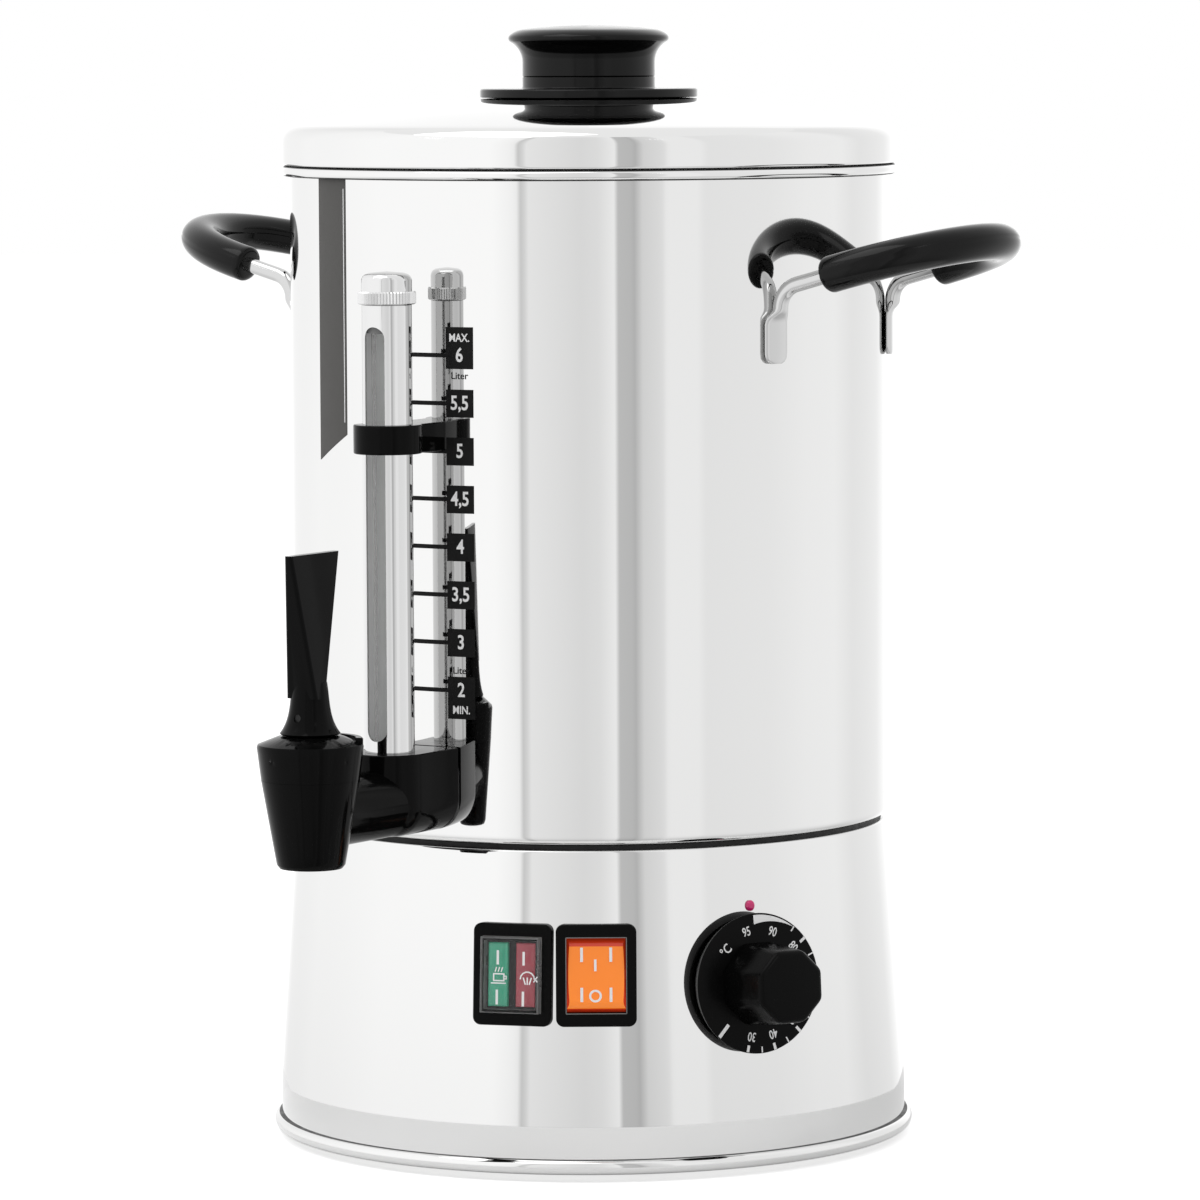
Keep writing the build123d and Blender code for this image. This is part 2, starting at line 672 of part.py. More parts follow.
with BuildPart() as gland_cap:
    with BuildSketch(GLAND.offset(5 + TOUCH)):
        Circle(10.0)
    extrude(amount=GLAND_OUT - 5)
    cap_top = gland_cap.faces().filter_by(GeomType.PLANE).sort_by(Axis.Y)[-1]
    fillet(cap_top.edges(), radius=3.5)
    with BuildSketch(GLAND.offset(5)):
        with PolarLocations(10.6, 12):
            Circle(1.2)
    extrude(amount=6, mode=Mode.SUBTRACT)
    with BuildSketch(GLAND):
        Circle(CORD_RADIUS)
    extrude(amount=30, mode=Mode.SUBTRACT)
gland_cap.part.label = "gland_cap"
export_step(gland_cap.part, "parts/gland_cap.step")

with BuildPart() as gland_nut:
    with BuildSketch(GLAND.offset(-SHEET - 1.0)):
        RegularPolygon(11.0, 6)
        Circle(8.0, mode=Mode.SUBTRACT)
    extrude(amount=-4.5)
gland_nut.part.label = "gland_nut"
export_step(gland_nut.part, "parts/gland_nut.step")

BLOCK_PLANE = on_base(BLOCK_ANGLE, BLOCK_Z, -SHEET)
BLOCK_HOLES = ((-11, 8), (0, 8), (11, 8))
BLOCK_LEVEL = Plane(origin=BLOCK_PLANE.origin, x_dir=BLOCK_PLANE.x_dir, z_dir=(0, 0, 1))
with BuildPart() as terminal_block:
    with BuildSketch(BLOCK_PLANE.offset(-1.4)):
        Rectangle(33, 17)
    extrude(amount=-12)
    with BuildSketch(BLOCK_PLANE.offset(-13.4)):
        with Locations((-11, 0), (0, 0), (11, 0)):
            Circle(2.6)
    extrude(amount=4, mode=Mode.SUBTRACT)
    with BuildSketch(BLOCK_LEVEL):
        with Locations(*BLOCK_HOLES):
            Circle(1.7)
    extrude(amount=20, both=True, mode=Mode.SUBTRACT)
terminal_block.part.label = "terminal_block"
export_step(terminal_block.part, "parts/terminal_block.step")

EARTH = on_base(EARTH_ANGLE, BLOCK_Z, -SHEET)
TAB = (0.8, 6.3)
TAB_LENGTH = 8.0
CUTOUT_TABS = ((-4, -30), (4, -30))
CUTOUT_TAB_Z = HEATER_LOW - TOUCH - 7
with BuildPart() as spade_terminals:
    for panel in (SWITCH, INDICATOR):
        with BuildSketch(panel.offset(-BODY_DEPTH)):
            with Locations((-5, -8), (5, -8), (-5, 8), (5, 8)):
                Rectangle(*TAB)
        extrude(amount=-TAB_LENGTH)
    with BuildSketch(THERMOSTAT.offset(-30)):
        with Locations((-8, -8), (8, -8)):
            Rectangle(*TAB)
    extrude(amount=-TAB_LENGTH)
    with BuildSketch(Plane.XY.offset(CUTOUT_TAB_Z)):
        with Locations(*CUTOUT_TABS):
            Rectangle(*TAB)
    extrude(amount=-TAB_LENGTH)
    for end in element_ends:
        with BuildSketch(Plane.XY.offset(end.Z - ELEMENT_LEGS)):
            with Locations((end.X, end.Y)):
                Rectangle(*TAB)
        extrude(amount=-TAB_LENGTH)
    with BuildSketch(EARTH.offset(-0.1)):
        Circle(4.5)
    extrude(amount=-0.9)
    with BuildSketch(EARTH.offset(-1.0)):
        Rectangle(*TAB)
    extrude(amount=-TAB_LENGTH)
spade_terminals.part.label = "spade_terminals"
export_step(spade_terminals.part, "parts/spade_terminals.step")

WIRE_RADIUS = 1.2


def in_plane(plane, x, y, depth):
    """A point behind a plane, from its own x and y."""
    return plane.from_local_coords(Vector(x, y, -depth))


def block_entry(index, height):
    """A point on the axis of one of the terminal block's holes."""
    hole = BLOCK_LEVEL.from_local_coords(Vector(*BLOCK_HOLES[index], 0))
    return Vector(hole.X, hole.Y, height)


def wire_run(*points):
    """One insulated wire through the points, with rounded corners."""
    with BuildPart(mode=Mode.PRIVATE) as run:
        with BuildLine():
            FilletPolyline(*points, radius=4.0)
        with BuildSketch(Plane(origin=points[0], z_dir=Vector(points[1]) - Vector(points[0]))):
            Circle(WIRE_RADIUS)
        sweep()
    return run.part


TAB_END = BODY_DEPTH + TAB_LENGTH
first_end, last_end = element_ends
LEG_END = first_end.Z - ELEMENT_LEGS - TAB_LENGTH
live_runs = [
    wire_run(
        block_entry(0, 46),
        block_entry(0, 30),
        (50, 40, 30),
        (47, -25, 36),
        in_plane(SWITCH, 5, -8, TAB_END + 12),
        in_plane(SWITCH, 5, -8, TAB_END),
    ),
    wire_run(
        in_plane(SWITCH, 5, 8, TAB_END),
        in_plane(SWITCH, 5, 8, TAB_END + 10),
        (41, -40, 62),
        in_plane(THERMOSTAT, -8, -8, 50),
        in_plane(THERMOSTAT, -8, -8, 38),
    ),
    wire_run(
        in_plane(THERMOSTAT, 8, -8, 38),
        in_plane(THERMOSTAT, 8, -8, 48),
        (30, -12, 66),
        (CUTOUT_TABS[1][0], CUTOUT_TABS[1][1], 72),
        (CUTOUT_TABS[1][0], CUTOUT_TABS[1][1], CUTOUT_TAB_Z - TAB_LENGTH),
    ),
    wire_run(
        (CUTOUT_TABS[0][0], CUTOUT_TABS[0][1], CUTOUT_TAB_Z - TAB_LENGTH),
        (CUTOUT_TABS[0][0], CUTOUT_TABS[0][1], 76),
        (-10, 28, 56),
        (first_end.X, first_end.Y, 54),
        (first_end.X, first_end.Y, LEG_END),
    ),
]
with BuildPart() as wiring_live:
    add(live_runs)
wiring_live.part.label = "wiring_live"
export_step(wiring_live.part, "parts/wiring_live.step")

neutral_runs = [
    wire_run(
        block_entry(1, 46),
        block_entry(1, 26),
        (38, 40, 26),
        (35, -25, 34),
        in_plane(SWITCH, -5, -8, TAB_END + 12),
        in_plane(SWITCH, -5, -8, TAB_END),
    ),
    wire_run(
        in_plane(SWITCH, -5, 8, TAB_END),
        in_plane(SWITCH, -5, 8, TAB_END + 12),
        (18, -20, 60),
        (9, 28, 54),
        (last_end.X, last_end.Y, 53),
        (last_end.X, last_end.Y, LEG_END),
    ),
]
with BuildPart() as wiring_neutral:
    add(neutral_runs)
wiring_neutral.part.label = "wiring_neutral"
export_step(wiring_neutral.part, "parts/wiring_neutral.step")

earth_run = wire_run(
    block_entry(2, 50),
    block_entry(2, 68),
    (0, 80, 66),
    in_plane(EARTH, 0, 0, 21),
    in_plane(EARTH, 0, 0, 1 + TAB_LENGTH),
)
with BuildPart() as wiring_earth:
    add(earth_run)
wiring_earth.part.label = "wiring_earth"
export_step(wiring_earth.part, "parts/wiring_earth.step")

# ---- lid ------------------------------------------------------------------------------------
corner_x = LID_RADIUS - LID_CORNER
corner_z = LID_APEX_Z - LID_DOME + sqrt((LID_DOME - LID_CORNER) ** 2 - corner_x**2)
corner_share = LID_CORNER / (LID_DOME - LID_CORNER)
dome_start = (
    corner_x * (1 + corner_share),
    corner_z + (corner_z - LID_APEX_Z + LID_DOME) * corner_share,
)
KNOB_SCREW = 2.5

with BuildPart() as lid_shell:
    with BuildSketch(Plane.XZ):
        with BuildLine():
            hem = FilletPolyline(
                (COLLAR_RADIUS, LID_EDGE_Z),
                (LID_RADIUS, LID_EDGE_Z),
                (LID_RADIUS, corner_z),
                radius=1.2,
            )
            TangentArc(hem @ 1, dome_start, tangent=hem % 1)
            RadiusArc(dome_start, (0, LID_APEX_Z), -LID_DOME)
            offset(amount=SHEET, side=Side.LEFT)
        make_face()
    revolve(axis=Axis.Z)
    with BuildSketch(Plane.XY.offset(LID_APEX_Z - 5)):
        Circle(KNOB_SCREW + 0.2)
    extrude(amount=10, mode=Mode.SUBTRACT)
lid_shell.part.label = "lid_shell"
export_step(lid_shell.part, "parts/lid_shell.step")

with BuildPart() as lid_collar:
    with BuildSketch(Plane.XZ):
        with BuildLine():
            FilletPolyline(
                (COLLAR_RADIUS, LID_EDGE_Z + SHEET),
                (COLLAR_RADIUS, 313.0),
                (COLLAR_RADIUS - 3, 313.0),
                radius=1.5,
            )
            offset(amount=SHEET, side=Side.RIGHT)
        make_face()
    revolve(axis=Axis.Z)
lid_collar.part.label = "lid_collar"
export_step(lid_collar.part, "parts/lid_collar.step")

with BuildPart() as knob_flange:
    with BuildSketch(Plane.XZ):
        with BuildLine():
            seat = ThreePointArc(
                (0, dome_z(0) + TOUCH),
                (18, dome_z(18) + TOUCH),
                (KNOB_FLANGE_RADIUS, dome_z(KNOB_FLANGE_RADIUS) + TOUCH),
            )
            Line(seat @ 1, (KNOB_FLANGE_RADIUS - 0.5, KNOB_FLANGE_TOP - 0.7))
            ThreePointArc(
                (KNOB_FLANGE_RADIUS - 0.5, KNOB_FLANGE_TOP - 0.7),
                (KNOB_FLANGE_RADIUS - 0.75, KNOB_FLANGE_TOP - 0.2),
                (KNOB_FLANGE_RADIUS - 1.3, KNOB_FLANGE_TOP),
            )
            Line((KNOB_FLANGE_RADIUS - 1.3, KNOB_FLANGE_TOP), (KNOB_NECK_RADIUS, KNOB_FLANGE_TOP))
            Line((KNOB_NECK_RADIUS, KNOB_FLANGE_TOP), (KNOB_NECK_RADIUS, KNOB_JOINT_Z))
            Line((KNOB_NECK_RADIUS, KNOB_JOINT_Z), (0, KNOB_JOINT_Z))
            Line((0, KNOB_JOINT_Z), seat @ 0)
        make_face()
    revolve(axis=Axis.Z)
    with BuildSketch(Plane.XY.offset(LID_APEX_Z - 5)):
        Circle(KNOB_SCREW + 0.2)
    extrude(amount=20, mode=Mode.SUBTRACT)
knob_flange.part.label = "knob_flange"
export_step(knob_flange.part, "parts/knob_flange.step")

KNOB_LOW = KNOB_JOINT_Z + TOUCH
with BuildPart() as lid_knob:
    with BuildSketch(Plane.XZ):
        with BuildLine():
            Line((0, KNOB_LOW), (KNOB_NECK_RADIUS - 0.4, KNOB_LOW))
            Line((KNOB_NECK_RADIUS - 0.4, KNOB_LOW), (KNOB_NECK_RADIUS, KNOB_LOW + 0.5))
            Line((KNOB_NECK_RADIUS, KNOB_LOW + 0.5), (KNOB_NECK_RADIUS, 359.6))
            flare = TangentArc(
                (KNOB_NECK_RADIUS, 359.6), (KNOB_HEAD_RADIUS - 0.6, 366.4), tangent=(0, 1)
            )
            edge = ThreePointArc(
                flare @ 1,
                (KNOB_HEAD_RADIUS, 367.6),
                (KNOB_HEAD_RADIUS - 2.4, 370.1),
            )
            RadiusArc(
                edge @ 1,
                (0, KNOB_TOP_Z),
                -crown_radius((edge @ 1).X, KNOB_TOP_Z - (edge @ 1).Y),
            )
            Line((0, KNOB_TOP_Z), (0, KNOB_LOW))
        make_face()
    revolve(axis=Axis.Z)
    with BuildSketch(Plane.XY.offset(KNOB_LOW)):
        Circle(KNOB_SCREW)
    extrude(amount=8.5, mode=Mode.SUBTRACT)
lid_knob.part.label = "lid_knob"
export_step(lid_knob.part, "parts/lid_knob.step")

WASHER_TOP = dome_z(8, SHEET) - TOUCH
WASHER_LOW = WASHER_TOP - 1.2
with BuildPart() as knob_washer:
    with BuildSketch(Plane.XY.offset(WASHER_LOW)):
        Circle(8)
        Circle(KNOB_SCREW + 0.2, mode=Mode.SUBTRACT)
    extrude(amount=WASHER_TOP - WASHER_LOW)
knob_washer.part.label = "knob_washer"
export_step(knob_washer.part, "parts/knob_washer.step")

with BuildPart() as knob_screw:
    with BuildSketch(Plane.XY.offset(WASHER_LOW)):
        Circle(4.6)
    extrude(amount=-3.0)
    fillet(knob_screw.faces().sort_by(Axis.Z)[0].edges(), radius=1.0)
    with BuildSketch(Plane.XY.offset(WASHER_LOW - 3.0)):
        Circle(KNOB_SCREW)
    extrude(amount=KNOB_LOW + 8.0 - WASHER_LOW + 3.0)
    with BuildSketch(Plane.XY.offset(WASHER_LOW - 3.0)):
        Rectangle(5.4, 1.1)
        Rectangle(1.1, 5.4)
    extrude(amount=1.6, mode=Mode.SUBTRACT)
knob_screw.part.label = "knob_screw"
export_step(knob_screw.part, "parts/knob_screw.step")

# ---- handles ----------------------------------------------------------------------------------
rise = radians(HANDLE_RISE)
leg_y = HANDLE_ARC
leg_x = sqrt((TANK_RADIUS + TOUCH + ROD_RADIUS) ** 2 - leg_y**2)
leg_angle = degrees(atan(leg_y / leg_x))
leg_corner_z = HANDLE_CENTRE[1] - (HANDLE_CENTRE[0] - leg_x) * sin(rise) / cos(rise)


def flattened_end(side, leg):
    """A rod end that is pressed flat where it is welded to the tank."""
    seat = facing_out(90 * side + leg * leg_angle, TANK_RADIUS + TOUCH, TAB_BOTTOM)
    with BuildPart(mode=Mode.PRIVATE) as tab:
        with BuildSketch(seat):
            with Locations((0, (TAB_TOP - TAB_BOTTOM) / 2)):
                RectangleRounded(TAB_WIDTH, TAB_TOP - TAB_BOTTOM, 3.0)
        extrude(amount=TAB_THICK)
        fillet(tab.faces().sort_by(lambda f: -side * f.center().X)[0].edges(), radius=0.6)
    return tab.part


for side, hand in ((1, "right"), (-1, "left")):
    BOW = Plane(
        origin=(side * HANDLE_CENTRE[0], 0, HANDLE_CENTRE[1]),
        x_dir=(side * cos(rise), 0, sin(rise)),
        z_dir=(-side * sin(rise), 0, cos(rise)),
    )
    arc_ends = [
        Vector(side * HANDLE_CENTRE[0], y, HANDLE_CENTRE[1]) for y in (-HANDLE_ARC, HANDLE_ARC)
    ]
    arc_top = BOW.from_local_coords(Vector(HANDLE_ARC, 0, 0))
    pressed_ends = [flattened_end(side, leg) for leg in (-1, 1)]
    with BuildPart() as handle_bow:
        with BuildLine() as bow_path:
            for end in arc_ends:
                FilletPolyline(
                    (side * leg_x, end.Y, TAB_TOP - 6),
                    (side * leg_x, end.Y, leg_corner_z),
                    end,
                    radius=8,
                )
            ThreePointArc(arc_ends[0], arc_top, arc_ends[1])
        with BuildSketch(Plane.XY.offset(TAB_TOP - 6)):
            with Locations((side * leg_x, -leg_y)):
                Circle(ROD_RADIUS)
        sweep(path=bow_path.wires()[0])
        add(pressed_ends)
    handle_bow.part.label = f"handle_bow_{hand}"
    export_step(handle_bow.part, f"parts/handle_bow_{hand}.step")

    with BuildPart() as handle_grip:
        with BuildSketch(Plane(origin=arc_ends[0], x_dir=(0, 1, 0), z_dir=BOW.x_dir)):
            Ellipse(6.8, 6.0)
            Circle(ROD_RADIUS, mode=Mode.SUBTRACT)
        revolve(axis=Axis(BOW.origin, BOW.z_dir), revolution_arc=180 * side)
        for end in arc_ends:
            with BuildSketch(Plane(origin=end, x_dir=(0, 1, 0), z_dir=-BOW.x_dir)):
                Ellipse(6.8, 6.0)
                Circle(ROD_RADIUS, mode=Mode.SUBTRACT)
            extrude(amount=GRIP_BACK)
    handle_grip.part.label = f"handle_grip_{hand}"
    export_step(handle_grip.part, f"parts/handle_grip_{hand}.step")

# ---- level gauge --------------------------------------------------------------------------------
with BuildPart() as gauge_shield:
    with BuildSketch(Plane.XY.offset(BLOCK_TOP + TOUCH)):
        with Locations((0, GAUGE_Y)):
            Circle(TUBE_RADIUS)
            Circle(TUBE_RADIUS - SHEET, mode=Mode.SUBTRACT)
    extrude(amount=TUBE_TOP - BLOCK_TOP - TOUCH)
    with BuildSketch(Plane.XZ.offset(-GAUGE_Y)):
        with Locations((0, (SLOT_LOW + SLOT_HIGH) / 2)):
            SlotOverall(SLOT_HIGH - SLOT_LOW, SLOT_WIDTH, rotation=90)
    extrude(amount=TUBE_RADIUS + 1, mode=Mode.SUBTRACT)
gauge_shield.part.label = "gauge_shield"
export_step(gauge_shield.part, "parts/gauge_shield.step")

GLASS_LOW = 131.2
with BuildPart() as gauge_glass:
    with BuildSketch(Plane.XY.offset(GLASS_LOW)):
        with Locations((0, GAUGE_Y)):
            Circle(GLASS_RADIUS)
            Circle(GLASS_RADIUS - 1.2, mode=Mode.SUBTRACT)
    extrude(amount=GLASS_TOP - GLASS_LOW)
gauge_glass.part.label = "gauge_glass"
export_step(gauge_glass.part, "parts/gauge_glass.step")

SOCKET_RADIUS = 6.6
with BuildPart() as gauge_seals:
    for low, high, outside in (
        (GLASS_LOW + 0.3, BLOCK_TOP - 0.8, SOCKET_RADIUS),
        (GLASS_TOP - 6, GLASS_TOP - 0.5, TUBE_RADIUS - SHEET),
    ):
        with BuildSketch(Plane.XY.offset(low)):
            with Locations((0, GAUGE_Y)):
                Circle(outside)
                Circle(GLASS_RADIUS, mode=Mode.SUBTRACT)
        extrude(amount=high - low)
gauge_seals.part.label = "gauge_seals"
export_step(gauge_seals.part, "parts/gauge_seals.step")

KNURL_TOP = 287.3
KNURL_RADIUS = 9.4
with BuildPart() as gauge_cap:
    with BuildSketch(Plane.XY.offset(TUBE_TOP + TOUCH)):
        with Locations((0, GAUGE_Y)):
            Circle(KNURL_RADIUS)
            with PolarLocations(KNURL_RADIUS + 0.25, 40):
                Circle(0.5, mode=Mode.SUBTRACT)
    extrude(amount=KNURL_TOP - TUBE_TOP - TOUCH)
    with BuildSketch(Plane(origin=(0, GAUGE_Y, 0), x_dir=(1, 0, 0), z_dir=(0, -1, 0))):
        with BuildLine():
            Polyline((0, KNURL_TOP - 1), (8.1, KNURL_TOP - 1), (8.1, 290.3))
            bulge = TangentArc((8.1, 290.3), (6.1, 292.9), tangent=(0, 1))
            RadiusArc(bulge @ 1, (0, 293.7), -crown_radius(6.1, 0.8))
            Line((0, 293.7), (0, KNURL_TOP - 1))
        make_face()
    revolve(axis=Axis((0, GAUGE_Y, 0), (0, 0, 1)))
    with BuildSketch(Plane.XY.offset(GLASS_TOP + 0.5)):
        with Locations((0, GAUGE_Y)):
            Circle(TUBE_RADIUS - SHEET - TOUCH)
    extrude(amount=TUBE_TOP - GLASS_TOP)
gauge_cap.part.label = "gauge_cap"
export_step(gauge_cap.part, "parts/gauge_cap.step")

CLAMP_LOW = 235.5
CLAMP_HIGH = 244.8
with BuildPart() as gauge_clamp:
    with BuildSketch(Plane.XY.offset(CLAMP_LOW)):
        with Locations((0, GAUGE_Y)):
            Circle(TUBE_RADIUS + 3.0)
        with Locations((0, (GAUGE_Y - TANK_RADIUS) / 2)):
            Rectangle(16, -GAUGE_Y - TANK_RADIUS + 3)
    extrude(amount=CLAMP_HIGH - CLAMP_LOW)
    fillet(gauge_clamp.faces().filter_by(Axis.Z).edges(), radius=0.5)
    with BuildSketch(Plane.XY.offset(CLAMP_LOW)):
        Circle(TANK_RADIUS + TOUCH)
        with Locations((0, GAUGE_Y)):
            Circle(TUBE_RADIUS + TOUCH)
    extrude(amount=CLAMP_HIGH - CLAMP_LOW, mode=Mode.SUBTRACT)
gauge_clamp.part.label = "gauge_clamp"
export_step(gauge_clamp.part, "parts/gauge_clamp.step")

# ---- tap ----------------------------------------------------------------------------------------
WATER_WAY = 6.0
CUP_LOW = 107.1
CUP_LOW_RADIUS = 10.9
CUP_TOP_RADIUS = 15.6
SPIGOT_RADIUS = 12.8
SPIGOT_LOW = 129.0
GASKET = 1.0
VALVE_AXIS = Axis((0, VALVE_Y, 0), (0, 0, 1))
VALVE_SECTION = Plane(origin=(0, VALVE_Y, 0), x_dir=(1, 0, 0), z_dir=(0, -1, 0))

with BuildPart() as tap_body:
    with BuildSketch(Plane.XY.offset(TAP_Z - PIPE_RADIUS)):
        with Locations((0, GAUGE_Y)):
            Circle(BLOCK_HALF)
        with Locations((0, (GAUGE_Y - 96) / 2)):
            Rectangle(2 * BLOCK_HALF, -GAUGE_Y - 96)
    extrude(amount=BLOCK_TOP - TAP_Z + PIPE_RADIUS)
    under = tap_body.faces().sort_by(Axis.Z)[0].edges().sort_by(Axis.Y)
    fillet(under[:-1], radius=10.5)
    fillet(tap_body.faces().sort_by(Axis.Z)[-1].edges().sort_by(Axis.Y)[:-1], radius=0.6)
    with BuildSketch(Plane.XZ.offset(110)):
        with Locations((0, TAP_Z)):
            Circle(PIPE_RADIUS)
    extrude(amount=-VALVE_Y - 110)
    with BuildSketch(Plane.XY):
        Circle(TANK_RADIUS + GASKET)
    extrude(amount=160, mode=Mode.SUBTRACT)
    with BuildSketch(Plane.XZ.offset(86)):
        with Locations((0, TAP_Z)):
            Circle(SHANK_RADIUS)
    extrude(amount=20)
    with BuildSketch(VALVE_SECTION):
        Polygon(
            (0, CUP_LOW),
            (CUP_LOW_RADIUS - 0.9, CUP_LOW),
            (CUP_LOW_RADIUS, CUP_LOW + 1.2),
            (CUP_TOP_RADIUS, BONNET_Z),
            (0, BONNET_Z),
            align=None,
        )
    revolve(axis=VALVE_AXIS)
    with BuildSketch(VALVE_SECTION):
        Polygon(
            (0, SEAT_Z),
            (8.6, SEAT_Z),
            (12.0, SPIGOT_LOW - 2),
            (SPIGOT_RADIUS, SPIGOT_LOW - 1),
            (SPIGOT_RADIUS, BONNET_Z),
            (0, BONNET_Z),
            align=None,
        )
    revolve(axis=VALVE_AXIS, mode=Mode.SUBTRACT)
    with BuildSketch(Plane.XY.offset(CUP_LOW)):
        with Locations((0, VALVE_Y)):
            Circle(WATER_WAY)
    extrude(amount=10, mode=Mode.SUBTRACT)
    with BuildSketch(Plane.XZ.offset(80)):
        with Locations((0, TAP_Z)):
            Circle(WATER_WAY)
    extrude(amount=-VALVE_Y - 80, mode=Mode.SUBTRACT)
    with BuildSketch(Plane.XY.offset(TAP_Z)):
        with Locations((0, GAUGE_Y)):
            Circle(3.6)
    extrude(amount=20, mode=Mode.SUBTRACT)
    with BuildSketch(Plane.XY.offset(GLASS_LOW - 0.2)):
        with Locations((0, GAUGE_Y)):
            Circle(SOCKET_RADIUS)
    extrude(amount=20, mode=Mode.SUBTRACT)
tap_body.part.label = "tap_body"
export_step(tap_body.part, "parts/tap_body.step")

with BuildPart() as tap_gasket_outer:
    with BuildSketch(Plane.XZ.offset(94)):
        with Locations((0, (TAP_Z - PIPE_RADIUS + BLOCK_TOP) / 2)):
            RectangleRounded(2 * BLOCK_HALF - 1.2, BLOCK_TOP - TAP_Z + PIPE_RADIUS - 1.2, 8)
        with Locations((0, TAP_Z)):
            Circle(SHANK_RADIUS, mode=Mode.SUBTRACT)
    extrude(amount=12)
    with BuildSketch(Plane.XY.offset(100)):
        Circle(TANK_RADIUS + GASKET)
        Circle(TANK_RADIUS, mode=Mode.SUBTRACT)
    extrude(amount=60, mode=Mode.INTERSECT)
tap_gasket_outer.part.label = "tap_gasket_outer"
export_step(tap_gasket_outer.part, "parts/tap_gasket_outer.step")

NUT_FACE = 96.4
with BuildPart() as tap_gasket_inner:
    with BuildSketch(Plane.XZ.offset(NUT_FACE)):
        with Locations((0, TAP_Z)):
            Circle(10.9)
            Circle(SHANK_RADIUS, mode=Mode.SUBTRACT)
    extrude(amount=4)
    with BuildSketch(Plane.XY.offset(100)):
        Circle(TANK_RADIUS - SHEET)
    extrude(amount=60, mode=Mode.INTERSECT)
tap_gasket_inner.part.label = "tap_gasket_inner"
export_step(tap_gasket_inner.part, "parts/tap_gasket_inner.step")

with BuildPart() as tap_nut:
    with BuildSketch(Plane.XZ.offset(NUT_FACE - TOUCH)):
        with Locations((0, TAP_Z)):
            RegularPolygon(11.0, 6, major_radius=False)
            Circle(SHANK_RADIUS, mode=Mode.SUBTRACT)
    extrude(amount=-6)
tap_nut.part.label = "tap_nut"
export_step(tap_nut.part, "parts/tap_nut.step")

STEM_RADIUS = 3.0
FLUTE_ANGLES = (-11.6, 78.4, 168.4, 258.4)
FLUTE_AT = 17.9
FLUTE_RADIUS = 1.6
FLUTE_HEIGHT = 5.4
BACK_WALL = 126.0  # the collar stands higher over this angle, on the side of the tank
wall_start = radians(90 - BACK_WALL / 2)
WALL_SECTION = Plane(
    origin=(0, VALVE_Y, 0),
    x_dir=(cos(wall_start), sin(wall_start), 0),
    z_dir=(sin(wall_start), -cos(wall_start), 0),
)
with BuildPart() as tap_bonnet:
    with BuildSketch(VALVE_SECTION):
        Polygon(
            (0, SPIGOT_LOW),
            (SPIGOT_RADIUS, SPIGOT_LOW),
            (SPIGOT_RADIUS, BONNET_Z + TOUCH),
            (CUP_TOP_RADIUS, BONNET_Z + TOUCH),
            (16.9, 145.6),
            (16.6, 146.4),
            (9.9, BONNET_TOP),
            (0, BONNET_TOP),
            align=None,
        )
    revolve(axis=VALVE_AXIS)
    for flute_angle in FLUTE_ANGLES:
        flute = radians(flute_angle)
        with BuildSketch(Plane.XY.offset(BONNET_Z + 1.6)):
            with Locations((FLUTE_AT * sin(flute), VALVE_Y - FLUTE_AT * cos(flute))):
                Circle(FLUTE_RADIUS)
        extrude(amount=FLUTE_HEIGHT, mode=Mode.SUBTRACT)
    with BuildSketch(WALL_SECTION):
        Polygon((14.4, 144.5), (16.7, 144.5), (16.7, 147.9), (16.2, 148.4), (14.4, 148.4), align=None)
    revolve(axis=VALVE_AXIS, revolution_arc=BACK_WALL)
    with BuildSketch(Plane.XY.offset(SPIGOT_LOW)):
        with Locations((0, VALVE_Y)):
            Circle(7.2)
    extrude(amount=14, mode=Mode.SUBTRACT)
    with BuildSketch(Plane.XY.offset(SPIGOT_LOW)):
        with Locations((0, VALVE_Y)):
            Circle(STEM_RADIUS + RUNNING)
    extrude(amount=30, mode=Mode.SUBTRACT)
tap_bonnet.part.label = "tap_bonnet"
export_step(tap_bonnet.part, "parts/tap_bonnet.step")

SEAT_TOP = 118.4
COLLAR_TOP = 120.4
PIN_RADIUS = 1.25
STEM_TOP = 157.4
with BuildPart() as valve_stem:
    with BuildSketch(VALVE_SECTION):
        Polygon(
            (0, SEAT_Z + 2.5),
            (2.0, SEAT_Z + 2.5),
            (2.0, SEAT_TOP),
            (6.4, SEAT_TOP),
            (6.4, COLLAR_TOP),
            (STEM_RADIUS, COLLAR_TOP),
            (STEM_RADIUS, STEM_TOP - 1),
            (STEM_RADIUS - 1, STEM_TOP),
            (0, STEM_TOP),
            align=None,
        )
    revolve(axis=VALVE_AXIS)
    with BuildSketch(Plane.XZ.offset(-VALVE_Y - 10)):
        with Locations((0, PIN_Z)):
            Circle(PIN_RADIUS + RUNNING)
    extrude(amount=20, mode=Mode.SUBTRACT)
valve_stem.part.label = "valve_stem"
export_step(valve_stem.part, "parts/valve_stem.step")

with BuildPart() as seat_cup:
    with BuildSketch(VALVE_SECTION):
        Polygon(
            (2.0, SEAT_Z + 2.5),
            (0, SEAT_Z + 2.5),
            (0, SEAT_Z + TOUCH),
            (6.6, SEAT_Z + TOUCH),
            (8.0, SEAT_Z + 1.6),
            (7.4, SEAT_TOP),
            (2.0, SEAT_TOP),
            align=None,
        )
    revolve(axis=VALVE_AXIS)
seat_cup.part.label = "seat_cup"
export_step(seat_cup.part, "parts/seat_cup.step")

